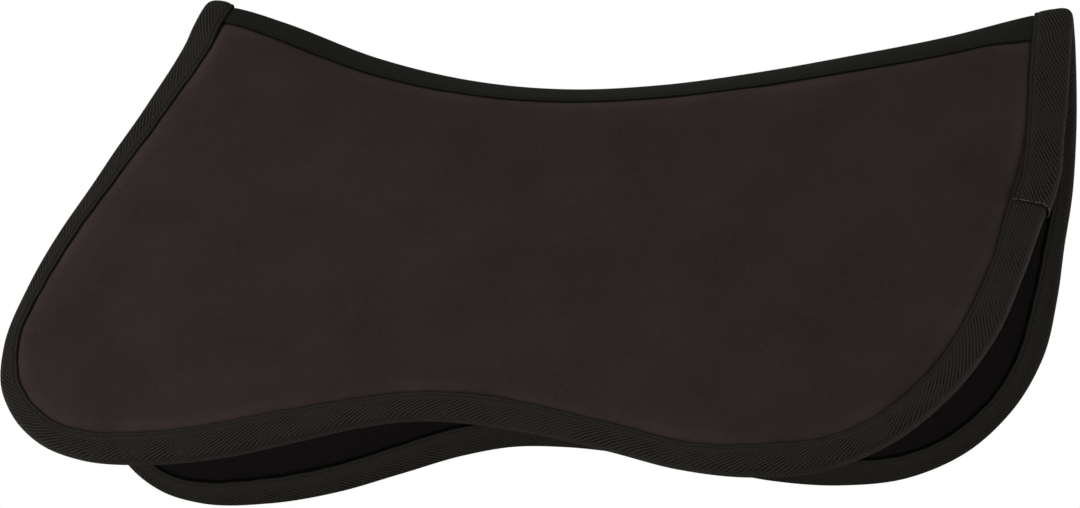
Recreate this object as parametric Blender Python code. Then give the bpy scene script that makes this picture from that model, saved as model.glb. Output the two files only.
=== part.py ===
"""Half pad: two bound foam wings sewn together along a curved spine seam, draped as over a horse's back.

X runs from the front arch to the rear arch, the left wing is at negative Y, and Z is up. The origin is where
the horse's back carries the pad: under the spine tape, at the lowest place of the seam.

Every layer is first laid out flat, as the cloth is cut: x along the pad, s down the cloth from the fold line
(negative towards the seam) and h out of the cloth. One function then drapes the flat layer.
"""
import math

import bmesh
import bpy
import numpy as np

# Driving dimensions, in metres and degrees
# Spine seam, at the middle of the padding's thickness: x, z
SEAM_LINE = (
    (-0.285, 0.0613), (-0.250, 0.0571), (-0.218, 0.0481), (-0.154, 0.0257), (-0.089, 0.0114), (-0.022, 0.0063),
    (0.041, 0.0099), (0.105, 0.0190), (0.168, 0.0308), (0.230, 0.0435), (0.290, 0.0587), (0.325, 0.0648),
)
# Outer edge of one wing on the flat cloth: x, s. The first and the last point lie past the seam
EDGE_LINE = (
    (-0.2755, -0.160), (-0.2785, -0.112), (-0.2831, -0.080), (-0.3012, -0.0325), (-0.3228, 0.0122),
    (-0.3418, 0.0606), (-0.3557, 0.1120), (-0.3618, 0.1600), (-0.3567, 0.1913), (-0.3421, 0.2139),
    (-0.3218, 0.2303), (-0.2983, 0.2383), (-0.2504, 0.2398), (-0.2038, 0.2338), (-0.1591, 0.2221),
    (-0.1151, 0.2095), (-0.0810, 0.2038), (-0.0456, 0.2064), (0.0018, 0.2155), (0.0485, 0.2279),
    (0.0949, 0.2413), (0.1411, 0.2486), (0.1861, 0.2463), (0.2264, 0.2289), (0.2585, 0.1963),
    (0.2821, 0.1516), (0.2960, 0.0960), (0.3030, 0.0500), (0.3106, 0.0068), (0.3134, -0.0300),
    (0.3132, -0.0800), (0.3114, -0.1250), (0.3094, -0.1700),
)
# Each wing bends out of the ridge along a straight line at this place
FOLD_Y = 0.048
FOLD_Z = -0.0387
# Places along X at which the angles below are given
STATIONS = (-0.283, 0.017, 0.317)
# The cloth's lean from the vertical where it crosses the fold line
FOLD_LEAN = (22.0, 34.0, 27.0)
# The wings' lean from the vertical below the fold, as the soft pad hangs in the photograph
WING_LEAN = {-1: (32.8, 33.5, 45.0), 1: (22.1, 36.6, 51.7)}
# Length of cloth over which the fold's lean turns into the wing's, and the wing's bend per metre below it
EASE_LENGTH = 0.060
WING_BEND = -30.5
# The ridge's slope from the horizontal at the seam, and its handles as shares of the ridge's width
SEAM_SLOPE = (46.0, 27.0, 46.0)
RIDGE_HANDLES = (0.38, 0.36)
# Cloth near the seam is stacked straight up, so that the two halves meet without crossing
MITRE_LENGTH = 0.035

# Padding: half thickness above and below its middle at these distances from the edge
INSETS = (0.0017, 0.020, 0.040)
TOP_HEIGHT = (0.0040, 0.0056, 0.0090)
UNDER_HEIGHT = (0.0040, 0.0048, 0.0070)
COVER_THICKNESS = 0.0016
LINING_THICKNESS = 0.0014
LAYER_GAP = 0.0003

# Binding tape: its width on the cover at STATIONS, on the lining, its thickness, its gaps to the padding,
# its rounding, and how much further than at the edge the padding under it has risen at the seam
TAPE_WIDTH = (0.013, 0.0225, 0.0215)
TAPE_WIDTH_UNDER = 0.017
TAPE_THICKNESS = 0.0011
TAPE_GAP = 0.0004
TAPE_GAP_UNDER = 0.0008
TAPE_ROUND = 0.0018
TIP_RISE = 0.0095
# How much wider the tape is at the front tip, and the length of cloth down from the seam over which it narrows
TIP_WIDER = 0.007
TIP_WIDER_LENGTH = 0.050
# The tape's end that lies over its beginning, at the rear edge of the left wing: from and to, down the cloth
OVERLAP_FROM = 0.008
OVERLAP_TO = 0.036
OVERLAP_WIDER = 0.0015
# Spine tape: half of its width, its gap to the padding, and the gap to the arch bindings
SPINE_HALF_WIDTH = 0.020
SPINE_GAP = 0.0007
SPINE_END_GAP = 0.0010

# Groove along each fold line that lets the wing turn: half gap, and the lean of its two sides
FOLD_GAP = 0.0005
GROOVE_OUT = 27.0
GROOVE_IN = 19.0

# Steps around a layer: from seam tip to TIP_REACH, to BELOW_FOLD, to the end's middle, seam, and bottom
TIP_STEPS = 4
RIDGE_STEPS = 2
END_STEPS = 2
SEAM_STEPS = 18
END_SPAN = TIP_STEPS + RIDGE_STEPS + END_STEPS
BOTTOM_STEPS = 2 * END_SPAN + SEAM_STEPS
# Distance down from the seam from which on all layers share their points
TIP_REACH = 0.058
# Points just below the groove, and the end's middle, down the cloth
BELOW_FOLD = 0.016
END_MIDDLE = 0.060
# Metres of edge that a bend of one radian counts for, so that the round corners get closer steps
BEND_WEIGHT = 0.055

COLOURS = {
    "cover": ((0.026, 0.020, 0.019), 0.95),
    "foam": ((0.42, 0.41, 0.37), 0.90),
    "lining": ((0.008, 0.006, 0.007), 0.85),
    "binding": ((0.018, 0.017, 0.014), 0.80),
    "spine": ((0.016, 0.016, 0.013), 0.80),
}


def smooth(knots, values, at):
    """Cubic curve through the values at the knots, with each slope taken from both neighbours."""
    knots = np.asarray(knots, float)
    values = np.asarray(values, float)
    if values.ndim == 1:
        return smooth(knots, values[:, None], at)[..., 0]
    step = np.diff(knots)[:, None]
    rise = np.diff(values, axis=0) / step
    inner = (rise[:-1] * step[1:] + rise[1:] * step[:-1]) / (step[:-1] + step[1:])
    slope = np.concatenate([rise[:1], inner, rise[-1:]])
    at = np.clip(at, knots[0], knots[-1])
    i = np.clip(np.searchsorted(knots, at) - 1, 0, len(knots) - 2)
    h = step[i]
    t = ((at - knots[i]) / h[..., 0])[..., None]
    return (values[i] * (1 + 2 * t) * (1 - t) ** 2 + slope[i] * h * t * (1 - t) ** 2
            + values[i + 1] * t * t * (3 - 2 * t) + slope[i + 1] * h * t * t * (t - 1))


def stations(values, x):
    """Parabola through the three values that are given at STATIONS."""
    return np.polyval(np.polyfit(STATIONS, values, 2), np.asarray(x, float))


def ease(t):
    t = np.clip(t, 0.0, 1.0)
    return t * t * (3 - 2 * t)


def ridge_curve(x, steps=32):
    """The ridge's cross-section at each x, from the fold line up to the seam, as points and lengths."""
    seam_z = smooth([p[0] for p in SEAM_LINE], [p[1] for p in SEAM_LINE], x)
    lean = np.radians(stations(FOLD_LEAN, x))
    slope = np.radians(stations(SEAM_SLOPE, x))
    fold = np.stack([np.full_like(x, FOLD_Y), np.full_like(x, FOLD_Z)], -1)
    seam = np.stack([np.zeros_like(x), seam_z], -1)
    width = np.linalg.norm(seam - fold, axis=-1)[:, None]
    handle_fold = fold + RIDGE_HANDLES[0] * width * np.stack([-np.sin(lean), np.cos(lean)], -1)
    handle_seam = seam + RIDGE_HANDLES[1] * width * np.stack([np.cos(slope), -np.sin(slope)], -1)
    t = np.linspace(0.0, 1.0, steps + 1)[None, :, None]
    curve = (fold[:, None] * (1 - t) ** 3 + handle_fold[:, None] * 3 * t * (1 - t) ** 2
             + handle_seam[:, None] * 3 * t * t * (1 - t) + seam[:, None] * t ** 3)
    piece = np.linalg.norm(np.diff(curve, axis=1), axis=-1)
    length = np.concatenate([np.zeros((len(x), 1)), np.cumsum(piece, axis=1)], axis=1)
    return curve, length


def ridge_length(x):
    """Length of cloth between the fold line and the seam."""
    return ridge_curve(np.atleast_1d(np.asarray(x, float)))[1][:, -1]


def ridge_point(x, s):
    """Place and downward direction of the cloth on the ridge, where s is negative."""
    curve, length = ridge_curve(x)
    up = np.clip(-s, 0.0, length[:, -1] - 1e-9)
    i = (length <= up[:, None]).sum(axis=1) - 1
    row = np.arange(len(x))
    span = curve[row, i + 1] - curve[row, i]
    size = length[row, i + 1] - length[row, i]
    place = curve[row, i] + span * ((up - length[row, i]) / size)[:, None]
    knots = np.clip(np.stack([i - 1, i + 2], 1), 0, curve.shape[1] - 1)
    down = curve[row, knots[:, 0]] - curve[row, knots[:, 1]]
    return place, down / np.linalg.norm(down, axis=1)[:, None], length[:, -1] - up


def wing_point(x, s, side, steps=24):
    """Place and downward direction of the cloth on a wing: its lean eases from the fold's to the wing's own."""
    lean = np.radians(stations(FOLD_LEAN, x))
    own = np.radians(stations(WING_LEAN[side], x))
    part = np.linspace(0.0, 1.0, steps + 1)[None] * s[:, None]
    turn = lean[:, None] + (own - lean)[:, None] * ease(part / EASE_LENGTH) + np.radians(WING_BEND) * part
    ahead = np.stack([np.sin(turn), -np.cos(turn)], -1)
    middle = (ahead[:, 1:] + ahead[:, :-1]) / 2 * (s[:, None, None] / steps)
    return np.array([FOLD_Y, FOLD_Z]) + middle.sum(axis=1), ahead[:, -1]


def drape(flat, side):
    """World points of flat points (x, s, h) on the left (-1) or right (1) half of the pad."""
    x, s, h = np.asarray(flat, float).T
    above = s < 0
    place = np.zeros((len(x), 2))
    out = np.zeros((len(x), 2))
    if above.any():
        place[above], down, to_seam = ridge_point(x[above], s[above])
        normal = np.stack([-down[:, 1], down[:, 0]], -1)
        upright = np.stack([np.zeros_like(to_seam), 1 / normal[:, 1]], -1)
        share = (1 - ease(to_seam / MITRE_LENGTH))[:, None]
        out[above] = normal * (1 - share) + upright * share
    if (~above).any():
        place[~above], down = wing_point(x[~above], s[~above], side)
        out[~above] = np.stack([-down[:, 1], down[:, 0]], -1)
    place = place + out * h[:, None]
    return np.stack([x, side * place[:, 0], place[:, 1]], -1)


def edge_curve():
    """Dense points of the flat outer edge past both tips, with the inward direction at each."""
    points = np.array(EDGE_LINE)
    knots = np.concatenate([[0.0], np.cumsum(np.linalg.norm(np.diff(points, axis=0), axis=1))])
    dense = smooth(knots, points, np.linspace(0.0, knots[-1], 1401))
    along = np.gradient(dense, axis=0)
    along /= np.linalg.norm(along, axis=1)[:, None]
    return dense, np.stack([along[:, 1], -along[:, 0]], -1)


EDGE, INWARD = edge_curve()


def edge_places():
    """Places along the dense edge that all layers share, from front tip to rear tip."""
    count = np.arange(len(EDGE))
    to_seam = EDGE[:, 1] + ridge_length(EDGE[:, 0])
    turn = np.unwrap(np.arctan2(INWARD[:, 1], INWARD[:, 0]))
    bend = np.concatenate([[0.0], np.cumsum(np.abs(np.diff(turn)))]) * BEND_WEIGHT
    length = np.concatenate([[0.0], np.cumsum(np.linalg.norm(np.diff(EDGE, axis=0), axis=1))]) + bend
    third = len(EDGE) // 3
    front = [float(np.interp(TIP_REACH, to_seam[:third], count[:third]))]
    front += np.interp((BELOW_FOLD, END_MIDDLE), EDGE[:third, 1], count[:third]).tolist()
    rear = np.interp((END_MIDDLE, BELOW_FOLD), EDGE[:-third:-1, 1], count[:-third:-1]).tolist()
    rear += [float(np.interp(TIP_REACH, to_seam[:-third:-1], count[:-third:-1]))]
    marks = np.interp([*front, *rear], count, length)
    steps = (RIDGE_STEPS, END_STEPS, BOTTOM_STEPS, END_STEPS, RIDGE_STEPS)
    spans = [np.linspace(a, b, n + 1)[1:] for a, b, n in zip(marks, marks[1:], steps)]
    return np.interp(np.concatenate([marks[:1], *spans]), length, count)


SHARED_PLACES = edge_places()


def edge_line(inset, from_seam):
    """Points (x, s) that run inside the edge, tip to tip, ending the given distance below the seam."""
    line = EDGE + INWARD * np.reshape(inset, (-1, 1))
    below = line[:, 1] + ridge_length(line[:, 0]) - from_seam
    inside = np.flatnonzero(below >= 0)
    first, last = inside[0], inside[-1]
    start = first - below[first] / (below[first] - below[first - 1])
    end = last + below[last] / (below[last] - below[last + 1])
    front = np.linspace(start, SHARED_PLACES[0], TIP_STEPS + 1)[:-1]
    rear = np.linspace(SHARED_PLACES[-1], end, TIP_STEPS + 1)[1:]
    count = np.arange(len(line))
    return np.stack([np.interp([*front, *SHARED_PLACES, *rear], count, line[:, k]) for k in range(2)], -1)


def layer_ring(inset):
    """Closed ring of points inside one half's edge and seam, from the front middle over the seam and back."""
    line = edge_line(inset, inset)
    seam_x = np.linspace(line[0, 0], line[-1, 0], SEAM_STEPS + 1)
    seam = np.stack([seam_x, inset - ridge_length(seam_x)], -1)
    front = line[:END_SPAN + 1][::-1]
    rear = line[-END_SPAN - 1:][::-1]
    bottom = line[END_SPAN:-END_SPAN][::-1]
    return np.concatenate([front, seam[1:-1], rear, bottom[1:]])


def layer_rows(heights_top, heights_under):
    """Flat points of a closed layer: rows from its middle line out to the edge and back on its other face.

    Both ends of the ring reach to the middle line's last point, in a fan.
    """
    rings = [layer_ring(inset) for inset in INSETS]
    middle = (rings[-1] + rings[-1][::-1]) / 2
    half = len(middle) // 2
    nearest = np.minimum(np.arange(len(middle)), np.arange(len(middle))[::-1])
    plan = rings + [middle[np.clip(nearest, END_SPAN, half - END_SPAN)]]
    faces = []
    for heights in (heights_top, heights_under):
        levels = [*heights, heights[-1]]
        faces.append([np.column_stack([p, np.full(len(p), h)]) for p, h in zip(plan, levels)])
    return np.stack(faces[0][::-1] + faces[1])


def grid_mesh(rows):
    """A triangle grid whose vertices take the given flat points, welded where its sides meet.

    The second half of the rows is cut along the other diagonal, so that facing layers have matching triangles.
    """
    count_v, count_u = rows.shape[:2]
    bm = bmesh.new()
    bmesh.ops.create_grid(bm, x_segments=count_u - 1, y_segments=count_v - 1, size=1.0)
    first_half = [f for f in bm.faces if f.calc_center_median().y < 0]
    second_half = [f for f in bm.faces if f.calc_center_median().y >= 0]
    bmesh.ops.triangulate(bm, faces=first_half, quad_method="FIXED")
    bmesh.ops.triangulate(bm, faces=second_half, quad_method="ALTERNATE")
    for vert in bm.verts:
        u = round((vert.co.x + 1) / 2 * (count_u - 1))
        v = round((vert.co.y + 1) / 2 * (count_v - 1))
        vert.co = rows[v, u]
    bmesh.ops.remove_doubles(bm, verts=bm.verts, dist=1e-6)
    return bm


def clip(bm, point, normal, fill=True):
    """Keeps what lies on the plane's positive side and closes the cut."""
    geometry = bm.verts[:] + bm.edges[:] + bm.faces[:]
    bmesh.ops.bisect_plane(bm, geom=geometry, dist=1e-7, plane_co=point, plane_no=normal, clear_inner=True)
    if not fill:
        return
    unit = np.array(normal) / np.linalg.norm(normal)
    offset = float(unit @ np.array(point))
    border = [e for e in bm.edges if e.is_boundary
              and all(abs(float(unit @ np.array(v.co)) - offset) < 1e-5 for v in e.verts)]
    filled = bmesh.ops.holes_fill(bm, edges=border, sides=0)
    bmesh.ops.triangulate(bm, faces=filled["faces"])


def clip_at_fold(bm, sign):
    """Keeps the wing (1) or the ridge (-1), with a groove that widens towards both faces."""
    point = (0.0, sign * FOLD_GAP, 0.0)
    clip(bm, point, (0.0, sign, -math.tan(math.radians(GROOVE_OUT))))
    clip(bm, point, (0.0, sign, math.tan(math.radians(GROOVE_IN))))


def drape_mesh(bm, side):
    flat = np.array([v.co for v in bm.verts])
    for vert, place in zip(bm.verts, drape(flat, side)):
        vert.co = place


def material(kind):
    name = kind + "_finish"
    if name in bpy.data.materials:
        return bpy.data.materials[name]
    made = bpy.data.materials.new(name)
    made.use_nodes = True
    shader = made.node_tree.nodes["Principled BSDF"]
    colour, roughness = COLOURS[kind]
    shader.inputs["Base Color"].default_value = (*colour, 1.0)
    shader.inputs["Roughness"].default_value = roughness
    return made


def add_part(name, bm, kind, collection):
    """Turns a closed bmesh into a named object with outward faces."""
    bmesh.ops.triangulate(bm, faces=bm.faces[:])
    bmesh.ops.dissolve_degenerate(bm, dist=1e-6, edges=bm.edges[:])
    bmesh.ops.recalc_face_normals(bm, faces=bm.faces[:])
    mesh = bpy.data.meshes.new(name)
    bm.to_mesh(mesh)
    bm.free()
    mesh.materials.append(material(kind))
    part = bpy.data.objects.new(name, mesh)
    collection.objects.link(part)
    return part


def layer_heights():
    """Heights of each layer's two faces at INSETS, from the cover's face down to the lining's."""
    top = np.array(TOP_HEIGHT)
    under = np.array(UNDER_HEIGHT)
    return {
        "cover": (top, top - COVER_THICKNESS),
        "foam": (top - COVER_THICKNESS - LAYER_GAP, LINING_THICKNESS + LAYER_GAP - under),
        "lining": (LINING_THICKNESS - under, -under),
    }


def build_layers(collection):
    for side, word in ((-1, "left"), (1, "right")):
        for kind, (top, under) in layer_heights().items():
            for sign, place in ((-1, "ridge"), (1, "wing")):
                bm = grid_mesh(layer_rows(top, under))
                clip_at_fold(bm, sign)
                drape_mesh(bm, side)
                add_part(f"{kind}_{place}_{word}", bm, kind, collection)


def tape_section(width, width_under, grow, reach):
    """The folded tape's outline as pairs (distance in from the edge, height), once round.

    Its inner edges lie on the padding as it is at most the given reach in from the edge.
    """
    top = TOP_HEIGHT[0] + TAPE_GAP + grow
    under = UNDER_HEIGHT[0] + TAPE_GAP_UNDER + grow
    top_inner = np.interp(min(width, reach), INSETS, TOP_HEIGHT) + TAPE_GAP + grow
    under_inner = np.interp(min(width_under, reach), INSETS, UNDER_HEIGHT) + TAPE_GAP_UNDER + grow
    wall = TAPE_THICKNESS - grow
    return (
        (width, top_inner),
        (wall, top),
        (wall, -under),
        (width_under, -under_inner),
        (width_under, -under_inner - TAPE_THICKNESS),
        (TAPE_ROUND - grow, -under - TAPE_THICKNESS),
        (-grow, -under - TAPE_THICKNESS + TAPE_ROUND),
        (-grow, top + TAPE_THICKNESS - TAPE_ROUND),
        (TAPE_ROUND - grow, top + TAPE_THICKNESS),
        (width, top_inner + TAPE_THICKNESS),
    )


TAPE_CORNERS = len(tape_section(0.0, 0.0, 0.0, 0.0))


def tape_width(flat):
    """Width of the tape on the cover at points of the flat cloth: it is wider at the front tip."""
    to_seam = flat[:, 1] + ridge_length(flat[:, 0])
    tip = np.where(flat[:, 0] < 0, TIP_WIDER, 0.0) * (1 - ease(to_seam / TIP_WIDER_LENGTH))
    return stations(TAPE_WIDTH, flat[:, 0]) + tip


def tape_rows(grow=0.0, wider=0.0):
    """Flat points of the binding of one half, tip to tip, with its section closed.

    Near the seam the padding is as thin as at the edge, so the tape lies lower there.
    """
    widths = tape_width(EDGE) + wider
    under = TAPE_WIDTH_UNDER + wider
    rows = []
    for corner in [*range(TAPE_CORNERS), 0]:
        inset = np.array([tape_section(w, under, grow, w)[corner][0] for w in widths])
        line = edge_line(inset, 0.0)
        here = tape_width(line) + wider
        reach = line[:, 1] + ridge_length(line[:, 0]) + TIP_RISE
        height = [tape_section(w, under, grow, r)[corner][1] for w, r in zip(here, reach)]
        rows.append(np.column_stack([line, height]))
    return np.stack(rows)


def build_binding(collection):
    for side, word in ((-1, "left"), (1, "right")):
        bm = grid_mesh(tape_rows())
        clip_at_fold(bm, 1)
        drape_mesh(bm, side)
        add_part(f"binding_wing_{word}", bm, "binding", collection)
    for end, word in ((-1, "front"), (1, "rear")):
        arch = bmesh.new()
        for side in (-1, 1):
            bm = grid_mesh(tape_rows())
            clip_at_fold(bm, -1)
            clip(bm, (0.0, 0.0, 0.0), (end, 0.0, 0.0), fill=False)
            drape_mesh(bm, side)
            half = bpy.data.meshes.new("half_arch")
            bm.to_mesh(half)
            bm.free()
            arch.from_mesh(half)
            bpy.data.meshes.remove(half)
        bmesh.ops.remove_doubles(arch, verts=arch.verts, dist=1e-5)
        add_part(f"binding_{word}_arch", arch, "binding", collection)


def build_overlap(collection):
    """The tape's free end, sewn over the place where the tape begins."""
    bm = grid_mesh(tape_rows(grow=TAPE_THICKNESS + TAPE_GAP, wider=OVERLAP_WIDER))
    clip(bm, (0.0, 0.0, 0.0), (1.0, 0.0, 0.0), fill=False)
    clip(bm, (0.0, OVERLAP_FROM, 0.0), (0.0, 1.0, 0.0))
    clip(bm, (0.0, OVERLAP_TO, 0.0), (0.0, -1.0, 0.0))
    drape_mesh(bm, -1)
    add_part("binding_overlap_left", bm, "binding", collection)


def spine_span(reach):
    """Front and rear x of a spine tape, which ends where the arch bindings' given width ends."""
    line = edge_line(reach, SPINE_HALF_WIDTH)
    upper = edge_line(reach, 0.0)
    return max(line[0, 0], upper[0, 0]) + SPINE_END_GAP, min(line[-1, 0], upper[-1, 0]) - SPINE_END_GAP


def build_spine(collection):
    """Tape over the seam and tape under it: a bent strip, lofted from front to rear."""
    heights = layer_heights()
    width = tape_width(EDGE)
    width_under = np.full_like(width, TAPE_WIDTH_UNDER)
    levels = (
        ("spine_tape_upper", width, heights["cover"][0][:2] + SPINE_GAP, TAPE_THICKNESS),
        ("spine_tape_under", width_under, heights["lining"][1][:2] - SPINE_GAP, -TAPE_THICKNESS),
    )
    for name, reach, level, thickness in levels:
        start, end = spine_span(reach)
        x = np.linspace(start, end, SEAM_STEPS + 1)
        faces = []
        columns = ((-1, SPINE_HALF_WIDTH, level[1]), (1, 0.0, level[0]), (1, SPINE_HALF_WIDTH, level[1]))
        for side, down, height in columns:
            face = np.column_stack([x, down - ridge_length(x), np.full_like(x, height)])
            faces.append((drape(face, side), drape(face + np.array([0.0, 0.0, thickness]), side)))
        loop = [face[0] for face in faces] + [face[1] for face in faces[::-1]]
        bm = grid_mesh(np.stack(loop + loop[:1]))
        bmesh.ops.holes_fill(bm, edges=[e for e in bm.edges if e.is_boundary], sides=0)
        add_part(name, bm, "spine", collection)


def build():
    for old in list(bpy.data.objects):
        bpy.data.objects.remove(old)
    collection = bpy.data.collections.new("half_pad")
    bpy.context.scene.collection.children.link(collection)
    build_layers(collection)
    build_binding(collection)
    build_overlap(collection)
    build_spine(collection)
    for part in collection.objects:
        print(part.name, len(part.data.polygons), "triangles")


build()
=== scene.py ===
# %% [markdown]
# # A half pad in suede and twill tape
# A half pad is the thin cushion between a saddle and a horse: two foam wings in microfibre suede, sewn
# together along a curved spine seam, lined with black knit and bound all round with folded cotton tape.
# The imported model gives the frame: where the pieces are and how they turn. This lesson dresses it.

# %% Load the imported model
import math
from functools import partial

import bpy
import numpy as np
from mathutils import Matrix


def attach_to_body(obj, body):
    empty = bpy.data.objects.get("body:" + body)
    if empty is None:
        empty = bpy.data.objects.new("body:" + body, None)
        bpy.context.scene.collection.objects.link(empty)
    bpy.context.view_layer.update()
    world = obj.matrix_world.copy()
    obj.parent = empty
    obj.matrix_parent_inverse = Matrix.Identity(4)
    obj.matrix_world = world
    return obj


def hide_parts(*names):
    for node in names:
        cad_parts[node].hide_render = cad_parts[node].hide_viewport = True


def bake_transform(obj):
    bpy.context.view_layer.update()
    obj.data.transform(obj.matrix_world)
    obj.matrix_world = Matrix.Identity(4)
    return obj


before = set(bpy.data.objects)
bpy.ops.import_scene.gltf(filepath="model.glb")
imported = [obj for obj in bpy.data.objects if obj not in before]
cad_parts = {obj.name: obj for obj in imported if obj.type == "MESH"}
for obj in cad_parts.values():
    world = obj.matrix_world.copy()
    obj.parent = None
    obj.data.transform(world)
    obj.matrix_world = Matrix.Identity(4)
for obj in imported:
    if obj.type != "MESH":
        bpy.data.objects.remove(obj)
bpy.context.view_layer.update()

# %% [markdown]
# ## The cut of the cloth
# A maker cuts each half flat and only then sews and drapes it. So does this lesson: every piece is first
# laid out with x along the pad, s down the cloth from the line where the wing folds, and h out of the cloth.
# The sizes are those of the part's own source: the spine seam, the cut edge, and the lean of the cloth where
# it hangs. Lengths are in metres, and leans are in degrees at three stations along the pad.
# The curved shape could be modelled directly, but then no width of tape would be known. Laid flat, each width
# is a plain number.

# %% Sizes of the cut and of the hang
SEAM_LINE = (
    (-0.285, 0.0613), (-0.250, 0.0571), (-0.218, 0.0481), (-0.154, 0.0257), (-0.089, 0.0114), (-0.022, 0.0063),
    (0.041, 0.0099), (0.105, 0.0190), (0.168, 0.0308), (0.230, 0.0435), (0.290, 0.0587), (0.325, 0.0648),
)
EDGE_LINE = (
    (-0.2730, -0.160), (-0.2762, -0.112), (-0.2819, -0.080), (-0.3012, -0.0325), (-0.3230, 0.0122),
    (-0.3425, 0.0606), (-0.3566, 0.1120), (-0.3629, 0.1603), (-0.3578, 0.1919), (-0.3430, 0.2150),
    (-0.3222, 0.2309), (-0.2984, 0.2388), (-0.2504, 0.2405), (-0.2038, 0.2340), (-0.1590, 0.2221),
    (-0.1149, 0.2102), (-0.0810, 0.2053), (-0.0458, 0.2070), (0.0018, 0.2155), (0.0485, 0.2279),
    (0.0947, 0.2419), (0.1411, 0.2493), (0.1863, 0.2473), (0.2269, 0.2298), (0.2594, 0.1971),
    (0.2830, 0.1520), (0.2962, 0.0961), (0.3032, 0.0500), (0.3102, 0.0068), (0.3128, -0.0300),
    (0.3130, -0.0800), (0.3118, -0.1250), (0.3100, -0.1700),
)
FOLD_Y = 0.048
FOLD_Z = -0.0387
STATIONS = (-0.283, 0.017, 0.317)
FOLD_LEAN = (22.0, 34.0, 27.0)
WING_LEAN = {-1: (32.8, 33.5, 45.0), 1: (22.1, 36.6, 51.7)}
EASE_LENGTH = 0.060
WING_BEND = -30.5
SEAM_SLOPE = (46.0, 27.0, 46.0)
RIDGE_HANDLES = (0.38, 0.36)
MITRE_LENGTH = 0.035
CREST_RADIUS = 0.0014
WORDS = {-1: "left", 1: "right"}
print("points of the cut edge:", len(EDGE_LINE), "and of the seam:", len(SEAM_LINE))

# %% [markdown]
# ## Lines and curves
# A few small tools are used all through the lesson: a smooth step, a ramp made from it, a smooth curve through
# given values, the length travelled along a line, and places read along it.
# Blender's curve objects could do most of this, but arrays of numbers handle every point at once.


# %% Curve helpers
def ease(t):
    """Smooth step: three t squared less two t cubed."""
    t = np.clip(t, 0.0, 1.0)
    return t * t * (3 - 2 * t)


def ramp(x, start, length):
    """0 up to a start, then a smooth step that reaches 1 after a length."""
    return ease((x - start) / length)


def smooth(knots, values, at):
    """Cubic curve through the values at the knots, with each slope taken from both neighbours."""
    knots = np.asarray(knots, float)
    values = np.asarray(values, float)
    if values.ndim == 1:
        return smooth(knots, values[:, None], at)[..., 0]
    step = np.diff(knots)[:, None]
    rise = np.diff(values, axis=0) / step
    inner = (rise[:-1] * step[1:] + rise[1:] * step[:-1]) / (step[:-1] + step[1:])
    slope = np.concatenate([rise[:1], inner, rise[-1:]])
    at = np.clip(at, knots[0], knots[-1])
    i = np.clip(np.searchsorted(knots, at) - 1, 0, len(knots) - 2)
    h = step[i]
    t = ((at - knots[i]) / h[..., 0])[..., None]
    return (values[i] * (1 + 2 * t) * (1 - t) ** 2 + slope[i] * h * t * (1 - t) ** 2
            + values[i + 1] * t * t * (3 - 2 * t) + slope[i + 1] * h * t * t * (t - 1))


def stations(values, x):
    """Parabola through the three values that are given at STATIONS."""
    return np.polyval(np.polyfit(STATIONS, values, 2), np.asarray(x, float))


def travelled(line):
    """Length along a line of points up to each of them."""
    return np.concatenate([[0.0], np.cumsum(np.linalg.norm(np.diff(line, axis=0), axis=1))])


def read_line(at, way, line):
    """Every column of a line, read at places between its own places."""
    return np.stack([np.interp(at, way, column) for column in line.T], -1)


def unit(rows):
    """Each row over its length."""
    return rows / np.linalg.norm(rows, axis=-1)[..., None]


print("a smooth step at a quarter, half and three quarters:", [float(ease(t)) for t in (0.25, 0.5, 0.75)])

# %% [markdown]
# ## Draping
# The ridge between the two fold lines is a Bezier curve in cross-section, and each wing hangs from it in a
# line whose lean changes smoothly. Both are formulas of x and s, so a whole grid of flat points is draped in
# one go. Close to the seam the layers are stacked straight up, and the sharp crest is rounded off, as tape
# laid over a seam is.
# A cloth simulation could drape the flat grid, but it wouldn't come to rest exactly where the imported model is.


# %% The ridge and the wings
def ridge_curve(x, steps=40):
    """The ridge's section at each x from the fold line up to the seam: a cubic Bezier, with its lengths."""
    seam_z = smooth([p[0] for p in SEAM_LINE], [p[1] for p in SEAM_LINE], x)
    lean = np.radians(stations(FOLD_LEAN, x))
    slope = np.radians(stations(SEAM_SLOPE, x))
    fold = np.stack([np.full_like(x, FOLD_Y), np.full_like(x, FOLD_Z)], -1)
    seam = np.stack([np.zeros_like(x), seam_z], -1)
    width = np.linalg.norm(seam - fold, axis=-1)[:, None]
    from_fold = fold + RIDGE_HANDLES[0] * width * np.stack([-np.sin(lean), np.cos(lean)], -1)
    from_seam = seam + RIDGE_HANDLES[1] * width * np.stack([np.cos(slope), -np.sin(slope)], -1)
    t = np.linspace(0.0, 1.0, steps + 1)[None, :, None]
    curve = (fold[:, None] * (1 - t) ** 3 + from_fold[:, None] * 3 * t * (1 - t) ** 2
             + from_seam[:, None] * 3 * t * t * (1 - t) + seam[:, None] * t ** 3)
    piece = np.linalg.norm(np.diff(curve, axis=1), axis=-1)
    return curve, np.concatenate([np.zeros((len(x), 1)), np.cumsum(piece, axis=1)], axis=1)


RIDGE_X = np.linspace(-0.40, 0.36, 761)
RIDGE_LENGTHS = ridge_curve(RIDGE_X)[1][:, -1]


def ridge_length(x):
    """Length of cloth between the fold line and the seam, read from a fine table along x."""
    return np.interp(x, RIDGE_X, RIDGE_LENGTHS)


def below_seam(flat):
    """Length of cloth between the seam and each flat point."""
    return flat[..., 1] + ridge_length(flat[..., 0])


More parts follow.
